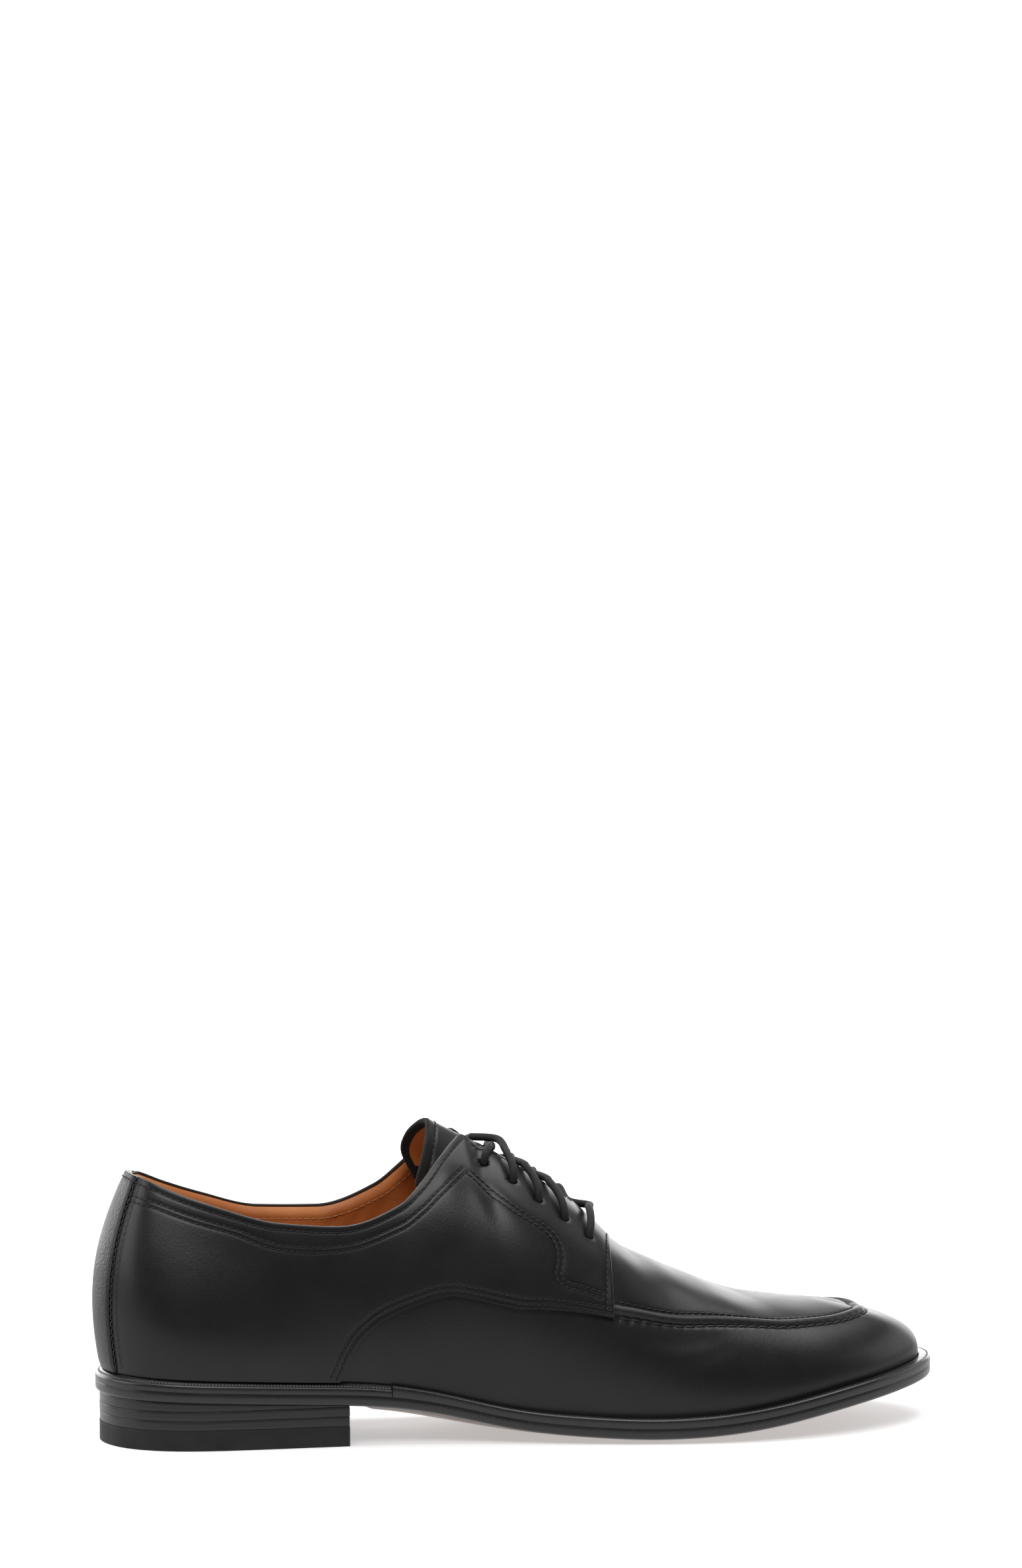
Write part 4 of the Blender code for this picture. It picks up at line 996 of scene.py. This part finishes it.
def fudging(name, node, station, slanted):
    """The row of notches that a wheel pressed along the welt's or the rand's top, coloured lighter: partly worn ink,
    partly a painted glint.
    """
    side, station = sided(station)
    notch = np.where(np.arange(len(station)) % 4 < 2, 0.0, 1.0)
    top = seat_height(station) + rim_height(station)
    profile = []
    for inset, height, cut in FUDGE_SECTION:
        fall = slanted * STRIP_DROP * (1 - (inset - 0.75) / 1.9)
        profile.append((inset * MM, top + (height - cut * notch - fall) * MM))
    piece(name, grids(edge_rows(side, station, profile)), WORN_EDGE_AND_GLINT, node, INSIDE)


def insole():
    side, station = sided(even_stations(0.0, LAST_STATION, 1.8 * MM))
    seat, middle = seat_height(station), axis_point(station)
    outline = feather(side, station, 2.0 * MM)[0]
    rows = [height_under(outline, seat + 0.3 * MM)]
    for inward in np.linspace(0, 1, 26):
        rise = 3.2 + 0.8 * (1 - min(inward * 6, 1)) ** 2 - 0.7 * smooth_step(inward * 2)
        rows.append(height_under(outline + (middle - outline) * inward, seat + rise * MM))
    piece("sock", grids(np.stack(rows, 1)), SOCK, "insole", mathutils.Vector((0, 0, 0)))


# Seams
def seam_lines(side):
    """The quarter's rim and its rows of stitches, as lines on its face."""

    def on_face(places):
        return on_form(side, places, QUARTER_FACE)

    def next_to(line, distance):
        return beside(side, line, distance * MM, QUARTER_FACE)

    rim = on_face([(station, 1.0) for station in RIM_STATIONS])
    collar, panel = on_face(COLLAR), on_face(FACING_PANEL)
    foot = on_face([(station, float(QUARTER_LOW(station))) for station in FOOT_STATIONS])
    run, rise = FRONT_HIGH[0] - FRONT_LOW[0], FRONT_HIGH[1] - FRONT_LOW[1] - 0.04
    front = on_face([(FRONT_LOW[0] + run * t, FRONT_LOW[1] + 0.02 + rise * t) for t in np.linspace(0, 0.82, 12)])
    facing = np.linspace(7.42, 9.0, 14)
    facing_share = share_at_width(side, facing, FACING_GAP / 2 + 1.9 * MM)
    return {
        "rim": rim,
        "rim_row": next_to(rim, side * 1.9),
        "collar_1": next_to(collar, 1.0),
        "collar_2": next_to(collar, -1.0),
        "panel_1": next_to(panel, 0.95),
        "panel_2": next_to(panel, -0.95),
        "foot_1": next_to(foot, -side * 2.0),
        "foot_2": next_to(foot, -side * 4.1),
        "front_row": next_to(front, -side * 1.5),
        "facing_row": on_face(np.column_stack([facing, facing_share])),
    }


LINES = {side: seam_lines(side) for side, _ in SIDES}


def rows_of(side):
    return [line for name, line in LINES[side].items() if name != "rim"]


# Upper
def bead_shares(side, station):
    """Shares up the wall of the apron seam's lower and upper foot."""
    foot = SEAM(station)
    return foot, foot + BEAD_WIDTH / np.linalg.norm(climb(side, station, foot), axis=-1)


def vamp_top(side, station):
    """Share up the wall where the vamp ends: under the quarter, or at the throat."""
    inner = smooth_step(station, 8.6, 0.8)
    return (1 - inner) * (QUARTER_LOW(station) + 0.15) + inner * throat_share(side, station)


def creased(points, normals, way, depth, width, places):
    """Points pushed in along a crease, which fades to both its ends."""
    line = on_form(way, places)[0]
    run = run_along(line) / run_along(line)[-1]
    fade = np.sin(np.pi * np.clip(run, 0.02, 0.98)) ** 0.6
    tree = tree_of(line)
    found = [tree.find(point) for point in points.reshape(-1, 3)]
    away = np.array([hit[2] for hit in found]).reshape(points.shape[:-1])
    weight = fade[np.array([hit[1] for hit in found])].reshape(points.shape[:-1])
    return points - normals * (depth * MM * weight * np.exp(-((away / (width * MM)) ** 2)))[..., None]


def vamp():
    side, station = both_ways(VAMP_BACK, 0.95 * MM)
    share = np.linspace(0, 1, 112)[None, :] ** 0.97
    side_all, station_all, rise = np.broadcast_arrays(side, station, vamp_top(side, station) * share)
    points = wall_point(side_all, station_all, rise)
    normals = wall_normal(side_all, station_all, rise)
    for crease in CREASES:
        for way, _ in SIDES:
            points = creased(points, normals, way, *crease)
    for way, _ in SIDES:
        seam = even_stations(8.7, 15.0, 1.0 * MM)
        foot, head = bead_shares(way, seam)
        points = pressed(points, normals, wall_point(way, seam, foot - 0.004), 0.45 * MM, 0.8 * MM)
        points = pressed(points, normals, wall_point(way, seam, head + 0.006), 0.40 * MM, 0.7 * MM)
        points = pressed(points, normals, APRON_HOLES[way], 0.28 * MM, 1.0 * MM)
        points = pressed(points, normals, LINES[way]["front_row"][0], 0.1 * MM, 2.5 * MM)
    foot_row = points[:, :1].copy()
    foot_row[..., 2] -= 2.2 * MM
    open_part = 1 - smooth_step(station_all[:, -1:], THROAT_STATION - 0.12, 0.1)
    folds = [points[:, -1:] - normals[:, -1:] * (depth * MM * open_part)[..., None] for depth in (0.3, 1.0)]
    piece("vamp", grids(np.concatenate([foot_row, points] + folds, 1)), CALF, "upper", INSIDE)


def apron_rows():
    """The coarse row under the apron's seam and the fine one above it, as lines on the form."""
    rows = {}
    for side, _ in SIDES:
        station = np.linspace(8.86, 14.995, 60)
        foot, head = bead_shares(side, station)
        low = on_form(side, list(zip(station, foot - 0.012)))
        high = on_form(side, list(zip(station, head + 0.012)))
        rows[side] = (low, high)
    return rows


APRON_ROWS = apron_rows()
APRON_HOLES = {side: stitch_holes(rows[0], APRON_PITCH) for side, rows in APRON_ROWS.items()}


def apron_seam():
    """The raised seam round the apron, drawn in a little at each stitch under it."""
    side, station = both_ways(BEAD_BACK, 0.45 * MM, share=0.5)
    foot, head = bead_shares(side, station)
    across = np.linspace(0, 1, 15)[None, :]
    rise = foot - 0.003 + (head - foot + 0.006) * across
    run = run_along(wall_point(side[:, 0], station[:, 0], foot[:, 0]))[:, None]
    puckers = 0.5 + 0.5 * np.cos(2 * np.pi * run / APRON_PITCH)
    shape = np.sin(np.pi * across) ** 0.62 * (1.0 - 0.22 * across)
    height = (BEAD_HEIGHT + BEAD_SUNK) * shape - BEAD_SUNK
    height = height - 0.16 * MM * puckers * np.exp(-(((across - 0.18) / 0.16) ** 2))
    side, station, rise = np.broadcast_arrays(side, station, rise)
    ends = smooth_step(station, BEAD_BACK, 0.12)
    points = lifted(side, station, rise, height * ends - 0.4 * MM * (1 - ends))
    piece("apron_seam", grids(points), BEAD_LOOK, "upper", INSIDE)
    coarse = [stitches(rows[0], APRON_PITCH, 0.26 * MM, 0.7 * MM, 0.05 * MM) for rows in APRON_ROWS.values()]
    fine = [stitches(rows[1], FINE_PITCH, THREAD_RADIUS, 0.5 * MM, 0.1 * MM) for rows in APRON_ROWS.values()]
    piece("apron_stitches", grids(*coarse, *fine), THREAD, "upper")


def quarter_station(column_station, rise):
    """Station of a point of a quarter's column: the columns lean forward more and more to the front edge."""
    share = np.clip((column_station - FRONT_LEANS_FROM) / (FRONT_LOW[0] - FRONT_LEANS_FROM), 0, 1)
    lean = (FRONT_HIGH[0] - FRONT_LOW[0]) / (FRONT_HIGH[1] - FRONT_LOW[1])
    return column_station + share * lean * (rise - FRONT_LOW[1])


def punched(bm, centre, normal, radius, reach):
    """Cuts a round hole in a grid: drops what lies inside it and draws its rim to a circle."""
    centre = mathutils.Vector(to_world(centre))
    normal = mathutils.Vector(normal).normalized()

    def apart(vert):
        offset = vert.co - centre
        return offset - normal * offset.dot(normal)

    near = [vert for vert in bm.verts if (vert.co - centre).length < 3 * reach]
    inside = [vert for vert in near if apart(vert).length < radius]
    bmesh.ops.delete(bm, geom=inside, context="VERTS")
    for vert in bm.verts:
        if (vert.co - centre).length < 3 * reach and vert.is_boundary:
            offset = apart(vert)
            vert.co += offset.normalized() * (radius - offset.length)


def quarter(side, label):
    node = f"quarter_{label}"
    column_station = even_stations(0.014, FRONT_LOW[0], 0.62 * MM, 0.55)[:, None]
    share = np.linspace(0, 1, 124)[None, :]
    low = np.where(column_station < QUARTER_FOOT, 0, QUARTER_LOW(np.maximum(column_station, QUARTER_FOOT))) + 0.004
    high = 1.0
    for _ in range(8):
        high = share_at_width(side, quarter_station(column_station, high), FACING_GAP / 2)
    rounding = FRONT_ROUNDING * smooth_step(column_station, 8.40, 0.5) * 2
    rise = low + (high - rounding - low) * share
    station = quarter_station(column_station, rise)
    normals = wall_normal(side, station, rise)
    points = wall_point(side, station, rise) + normals * QUARTER_FACE
    rows = rows_of(side)
    for depth, width in ((0.13, 0.5), (0.05, 1.6)):
        points = pressed(points, normals, np.concatenate([row[0] for row in rows]), depth * MM, width * MM)
    bm = grids(points)
    for eyelet_station, eyelet_share in EYELETS:
        centre = lifted(side, eyelet_station, eyelet_share, QUARTER_FACE)
        punched(bm, centre, wall_normal(side, eyelet_station, eyelet_share), EYELET_RADIUS, 1.6 * MM)
    piece(f"{node}_leather", bm, CALF, node, INSIDE, QUARTER_WALL, 0.25 * MM)
    # The topline's rim tube, coloured lighter: partly its cut edge, partly a painted glint along it.
    rim_station, rim_rise = (part[::RIM_THINNED] for part in LINES[side]["rim"][2:])
    rim = lifted(side, rim_station, rim_rise, RIM_LIFT) + np.array([0, 0, 0.1 * MM])
    piece(f"{node}_rim", grids(tube(rim, RIM_RADIUS, 8)), RIM_EDGE_AND_GLINT, node)
    # The front edge's tube, coloured lighter: partly its worn cut edge, partly a painted glint along it.
    share = FRONT_LOW[1] + (FRONT_HIGH[1] - FRONT_LOW[1]) * np.linspace(0.015, 0.84, 30)
    front = lifted(side, quarter_station(FRONT_LOW[0], share), share, FRONT_EDGE_LIFT)
    piece(f"{node}_front_edge", grids(tube(front, FRONT_EDGE_RADIUS, 8)), RIM_EDGE_AND_GLINT, node)
    piece(f"{node}_stitches", grids(*[stitches(row) for row in rows]), THREAD, node)
    # Discs of painted shade in the stitch holes.
    bm = bmesh.new()
    for row in rows:
        add_pinhole_shade(bm, row)
    piece(f"{node}_pinhole_shade", bm, RAW_EDGE_AND_HOLE_SHADE, node, INSIDE)


def lining():
    side, station = both_ways(0.0, 1.25 * MM)
    share = np.linspace(0, 1, 58)[None, :] ** 0.9
    collar = 1 - smooth_step(station, 6.9, 0.5)
    under_facing = smooth_step(station, 7.0, 0.4) * (1 - smooth_step(station, 9.5, 0.3))
    top = throat_share(side, station) - COLLAR_DROP * collar - FACING_DROP * under_facing
    rise = 0.02 + (top - 0.02) * share
    side, station, rise, collar = np.broadcast_arrays(side, station, rise, collar)
    lift = LINING_FACE + LINING_ROLL * smooth_step(rise, 0.955, 0.033) * collar
    points = lifted(side, station, rise, lift)
    normals = wall_normal(side, station, rise)
    for way, _ in SIDES:
        for depth, width, places in LINING_WRINKLES:
            points = pressed(points, normals, on_form(way, places)[0], depth * MM, width * MM)
    piece("lining", grids(points), TAN, "upper", INSIDE, LINING_WALL, 0.15 * MM)
    rows = []
    for way, _ in SIDES:
        rim = on_form(way, [(rim_station, 1.0) for rim_station in (0.02, 1, *RIM_STATIONS[1:])])
        line = beside(way, rim, way * 4.2 * MM)
        inner = (lifted(way, line[2], line[3], LINING_SEWN), -line[1])
        rows.append(stitches(inner, FINE_PITCH, THREAD_RADIUS, 0.5 * MM, 0.12 * MM))
    piece("lining_stitches", grids(*rows), THREAD_TAN, "upper")


def backstay():
    side, station = sided(even_stations(0.0, BACKSTAY_EDGE, 0.5 * MM, 0.5)[::-1])
    side, station, rise = np.broadcast_arrays(side[:, None], station[:, None], np.linspace(0.008, 1.0, 150)[None, :])
    edge = np.exp(-(((BACKSTAY_EDGE - station) / 0.035) ** 2))
    foot = np.exp(-(((rise - 0.008) / 0.02) ** 2))
    points = lifted(side, station, rise, BACKSTAY_FACE - 0.5 * MM * edge - 0.3 * MM * foot)
    rows = []
    for way, _ in SIDES:
        line = on_form(way, [(BACKSTAY_EDGE, share) for share in (0.02, 0.3, 0.6, 0.9, 1.0)], BACKSTAY_FACE)
        rows.append(beside(way, line, way * 1.9 * MM, BACKSTAY_FACE))
    across = [(BACKSTAY_EDGE, 0.972), (0.35, 0.972), (0.0, 0.972)]
    rows += [on_form(-1.0, across, BACKSTAY_FACE), on_form(1.0, across[::-1], BACKSTAY_FACE)]
    groove = np.concatenate([row[0] for row in rows])
    points = pressed(points, wall_normal(side, station, rise), groove, 0.25 * MM, 0.6 * MM)
    piece("backstay_leather", grids(points), CALF_PEBBLED, "backstay", INSIDE, BACKSTAY_WALL, 0.3 * MM)
    piece("backstay_stitches", grids(*[stitches(row, FINE_PITCH) for row in rows]), THREAD, "backstay")


# Tongue
def tongue_section(station, face):
    """The tongue across the shoe at a station, bulged where it is free."""
    free = 1 - smooth_step(station, THROAT_STATION - 0.75, 0.4)
    widths = TONGUE_WIDTH / 2 * np.array([1.0, 0.75, 0.47, 0.2])
    swell = TONGUE_BULGE * free * np.array([0, 0, 0, 0.8])
    halves = []
    for way in (-1.0, 1.0):
        halves.append(lifted(way, station, share_at_width(way, station, widths), face + swell))
    middle = lifted(-1.0, station, 1.0, face + TONGUE_BULGE * free)
    return np.concatenate([halves[0], middle[None], halves[1][::-1]])


def tongue_surface(rows_each, columns_each):
    """The tongue's face: its free end arches over the instep, and its root lies under the vamp."""
    end = TONGUE_END
    degrees = np.array([-90, -68, -45, -20, 0, 20, 45, 68, 90])
    angle = np.radians(degrees)
    height = end["foot_z"] + (end["top_z"] - end["foot_z"]) * np.cos(angle)
    along = end["foot_x"] + (end["top_x"] - end["foot_x"]) * np.cos(angle)
    along = along + np.interp(degrees, (0, 20, 45, 68, 90), (0, -1.6, -3.4, -2.0, 6.0)) * MM
    height = height + np.interp(degrees, (68, 90), (0, -3.0)) * MM
    free_end = np.stack([along, end["half_width"] * np.sin(angle), height], -1)
    root = tongue_section(7.65, TONGUE_FACE)
    rows = [free_end, free_end * 0.66 + root * 0.34, free_end * 0.32 + root * 0.68]
    rows += [tongue_section(station, TONGUE_FACE) for station in (7.65, 8.0, 8.4, 8.84, 9.22, 9.55, TONGUE_ROOT)]
    down = smooth_line(np.stack(rows), rows_each)
    return np.swapaxes(smooth_line(np.swapaxes(down, 0, 1), columns_each), 0, 1)


def surface_normals(points):
    normal = np.cross(np.gradient(points, axis=1), np.gradient(points, axis=0))
    normal /= np.linalg.norm(normal, axis=-1, keepdims=True)
    return normal * np.sign(normal[..., 2].mean())


def outer_loop(points, start=0, end=0, in_from_side=0):
    """A surface's border up one side, across its free end and down the other, or one further in."""
    low, high = in_from_side, points.shape[1] - 1 - in_from_side
    return np.concatenate([points[::-1, low], points[end, 1:-1], points[start:, high]])


def tongue():
    points = tongue_surface(16, 9)
    normals = surface_normals(points)
    arch = even_points(np.column_stack([points[6, 4:-4], normals[6, 4:-4]]), LINE_STEP)
    line = (arch[:, :3], arch[:, 3:])
    grooved = pressed(points, normals, line[0], 0.2 * MM, 0.6 * MM)
    piece("tongue_leather", grids(grooved), CALF, "tongue", INSIDE)
    back = points - normals * TONGUE_WALL
    piece("tongue_lining", grids(back[3:, 4:-4]), TAN, "tongue", OVERHEAD)
    loop, loop_back = outer_loop(points), outer_loop(back)
    out = loop - outer_loop(points, end=2, in_from_side=2)
    out /= np.maximum(np.linalg.norm(out, axis=1, keepdims=True), 1e-9)
    middle, half = (loop + loop_back) / 2, (loop - loop_back) / 2
    angles = np.linspace(0, np.pi, 9)
    edge = [middle + half * math.cos(angle) + out * math.sin(angle) * 0.8 * MM for angle in angles]
    edge.append(outer_loop(back, end=5, in_from_side=5) - half * 0.04)
    centre = mathutils.Vector(to_world(points).mean(axis=(0, 1)))
    piece("tongue_edge", grids(np.stack(edge)), RAW_EDGE_AND_HOLE_SHADE, "tongue", centre)
    piece("tongue_stitches", grids(stitches(line, 2.4 * MM)), THREAD, "tongue")


# Laces
def on_facing(way, eyelet, edge_station, extra=0.0):
    """A lace from under the facing, out of its eyelet and over to the facing's edge."""
    start, share = EYELETS[eyelet]
    run, rise = edge_station - start, share_at_width(way, edge_station, FACING_GAP / 2) - share
    above = QUARTER_FACE + LACE_RADIUS + 0.15 * MM
    under = [lifted(way, start + 0.05, share - 0.03, -4.0 * MM), lifted(way, start, share, -1.5 * MM)]
    under.append(lifted(way, start, share, 1.6 * MM))
    for t, bow in ((0.12, 0.9), (0.30, 1.7), (0.55, 1.6), (0.8, 1.1), (1.0, 0.8)):
        under.append(lifted(way, start + run * t, share + rise * t, above + (bow - 0.8) * MM + extra * t))
    return under


def over_tongue(station, extra=0.0):
    return lifted(-1.0, station, 1.0, TONGUE_FACE + TONGUE_BULGE + LACE_RADIUS + LACE_CLEAR + extra)


def dive(way, station):
    """A lace's last points, where it goes in under a facing."""
    share = share_at_width(way, station, FACING_GAP / 2 - LACE_RADIUS - LACE_CLEAR)
    under = share_at_width(way, station, FACING_GAP / 2 + 4 * MM)
    above = TONGUE_FACE + TONGUE_BULGE * 0.8 + LACE_RADIUS + LACE_CLEAR
    below = TONGUE_FACE + 0.6 * MM + LACE_RADIUS * 0.3
    return [lifted(way, station, share, above), lifted(way, station + 0.03, under, below)]


def carried(path):
    """A direction square to the path that turns as little as it can along it."""
    along = np.gradient(path, axis=0)
    along /= np.linalg.norm(along, axis=1, keepdims=True)
    up = np.array([0, 0, 1.0])
    carried_along = []
    for step in along:
        up = up - step * up.dot(step)
        up = up / np.linalg.norm(up)
        carried_along.append(up)
    return np.array(carried_along)


def cord_piece(name, node, *routes):
    paths = [even_points(smooth_line(route, 10), 0.35 * MM) for route in routes]
    bm = grids(*[np.swapaxes(tube(path, LACE_RADIUS, 14, carried(path)), 0, 1) for path in paths])
    piece(name, bm, CORD, node)


def lace():
    for number, low, high in ((2, 2, 1), (3, 3, 2)):
        start, end = EYELETS[low][0], EYELETS[high][0]
        leave = start + 0.2 * (end - start)
        paths = []
        for way, _ in SIDES:
            over = over_tongue((start + end) / 2, 1.2 * MM if way < 0 else -0.2 * MM)
            paths.append(on_facing(way, low, leave) + [over] + dive(-way, end + 0.1))
        cord_piece(f"lace_strands_{number}", f"lace_crossing_{number}", *paths)
    low = EYELETS[4][0]
    bar = on_facing(-1.0, 4, low + 0.25, 1.0 * MM) + [over_tongue(low + 0.08)] + on_facing(1.0, 4, low + 0.04)[::-1]
    cord_piece("lace_bottom_bar", "lace_bar", bar)
    top, low = EYELETS[0][0], EYELETS[1][0]
    middle = (top + low) / 2
    flat = on_facing(1.0, 1, low - 0.1) + [over_tongue(middle)] + on_facing(-1.0, 0, top + 0.12)[::-1]
    cord_piece("lace_top_strand", "lace_top_flat", flat)
    loop = on_facing(-1.0, 1, low - 0.05, 1.0 * MM) + [over_tongue(middle, 3.7 * MM)]
    loop += on_facing(1.0, 0, top + 0.05)[::-1]
    cord_piece("lace_top_bow", "lace_top_loop", loop)


outsole()
heel()
strip("welt_strip", "welt", even_stations(RAND_END + 0.006, LAST_STATION, 1.0 * MM, 0.0), 0)
strip("rand_strip", "heel_rand", even_stations(0.0, RAND_END - 0.006, 1.0 * MM, 0.0)[::-1], 1)
fudging("welt_fudging", "welt", even_stations(RAND_END + 0.03, LAST_STATION, FUDGE_STEP, 0.0), 0)
fudging("rand_fudging", "heel_rand", even_stations(0.0, RAND_END - 0.03, FUDGE_STEP, 0.0)[::-1], 1)
insole()
vamp()
apron_seam()
for way, label in SIDES:
    quarter(way, label)
lining()
backstay()
tongue()
lace()


# Stage
def glowing(name, grey, roughness, strength):
    made, shader = new_look(name, (grey, grey, grey), roughness)
    shader.inputs["Emission Color"].default_value = (1, 1, 1, 1)
    shader.inputs["Emission Strength"].default_value = strength
    return made, shader


def stage_piece(name, bm, look):
    """Part of the stage. It neither lights the shoe nor shades it."""
    obj = new_object(name, bm, look)
    obj.visible_diffuse = False
    obj.visible_shadow = False
    return obj


def floor_card():
    """What the low parts of the shoe mirror of the white floor. The camera doesn't see it."""
    bm = bmesh.new()
    bmesh.ops.create_grid(bm, x_segments=1, y_segments=1, size=1)
    bmesh.ops.scale(bm, vec=(1.1, 0.95, 1), verts=bm.verts)
    bmesh.ops.translate(bm, vec=(0, 0.62, -0.001), verts=bm.verts)
    card = stage_piece("floor_card", bm, glowing("floor_card", 0.0, 1.0, CARD_GLOW)[0])
    card.visible_camera = False


def stage():
    floor_card()
    bm = bmesh.new()
    bmesh.ops.create_grid(bm, x_segments=1, y_segments=1, size=30)
    made, shader = glowing("floor", 0.9, 0.9, 1.0)
    fall = texture(made, "ShaderNodeTexGradient", 0, (FLOOR_REACH, FLOOR_REACH, 1), gradient_type="SPHERICAL")
    glow = ramp(made, fall.outputs["Fac"], 0.0, 1.0, 1.0, FLOOR_GLOW)
    made.node_tree.links.new(glow, shader.inputs["Emission Strength"])
    shade = texture(made, "ShaderNodeTexNoise", 300, Detail=2)
    bumps(made, shader, (shade.outputs["Fac"], 0.0001, 0.05))
    stage_piece("floor", bm, made).visible_glossy = False
    bm = bmesh.new()
    bmesh.ops.create_uvsphere(bm, u_segments=48, v_segments=24, radius=28)
    stage_piece("backdrop", bm, glowing("backdrop", 0.0, 0.5, BACKDROP_GLOW)[0]).visible_glossy = False


def area_light(name, place, target, size, power):
    lamp = bpy.data.lights.new(name, "AREA")
    lamp.shape = "RECTANGLE"
    lamp.size, lamp.size_y = size
    lamp.energy = power
    obj = bpy.data.objects.new(name, lamp)
    obj.location = place
    way = mathutils.Vector(target) - mathutils.Vector(place)
    obj.rotation_euler = way.to_track_quat("-Z", "Y").to_euler()
    bpy.context.scene.collection.objects.link(obj)


def lights():
    world = bpy.data.worlds.new("studio")
    world.use_nodes = True
    background = world.node_tree.nodes["Background"]
    background.inputs["Color"].default_value = (1, 1, 1, 1)
    background.inputs["Strength"].default_value = WORLD_GLOW
    bpy.context.scene.world = world
    for light in LIGHTS:
        area_light(*light)


def camera():
    sight = bpy.data.cameras.new("camera")
    sight.lens = CAMERA_LENS
    sight.shift_x, sight.shift_y = CAMERA_SHIFT
    sight.clip_start = 0.1
    obj = bpy.data.objects.new("camera", sight)
    way = mathutils.Vector(CAMERA_WAY)
    obj.location = mathutils.Vector(to_world(CAMERA_TARGET)) + way * CAMERA_DISTANCE
    obj.rotation_euler = (-way).to_track_quat("-Z", "Y").to_euler()
    bpy.context.scene.collection.objects.link(obj)
    bpy.context.scene.camera = obj


stage()
lights()
camera()
bpy.context.scene.view_settings.view_transform = "Standard"
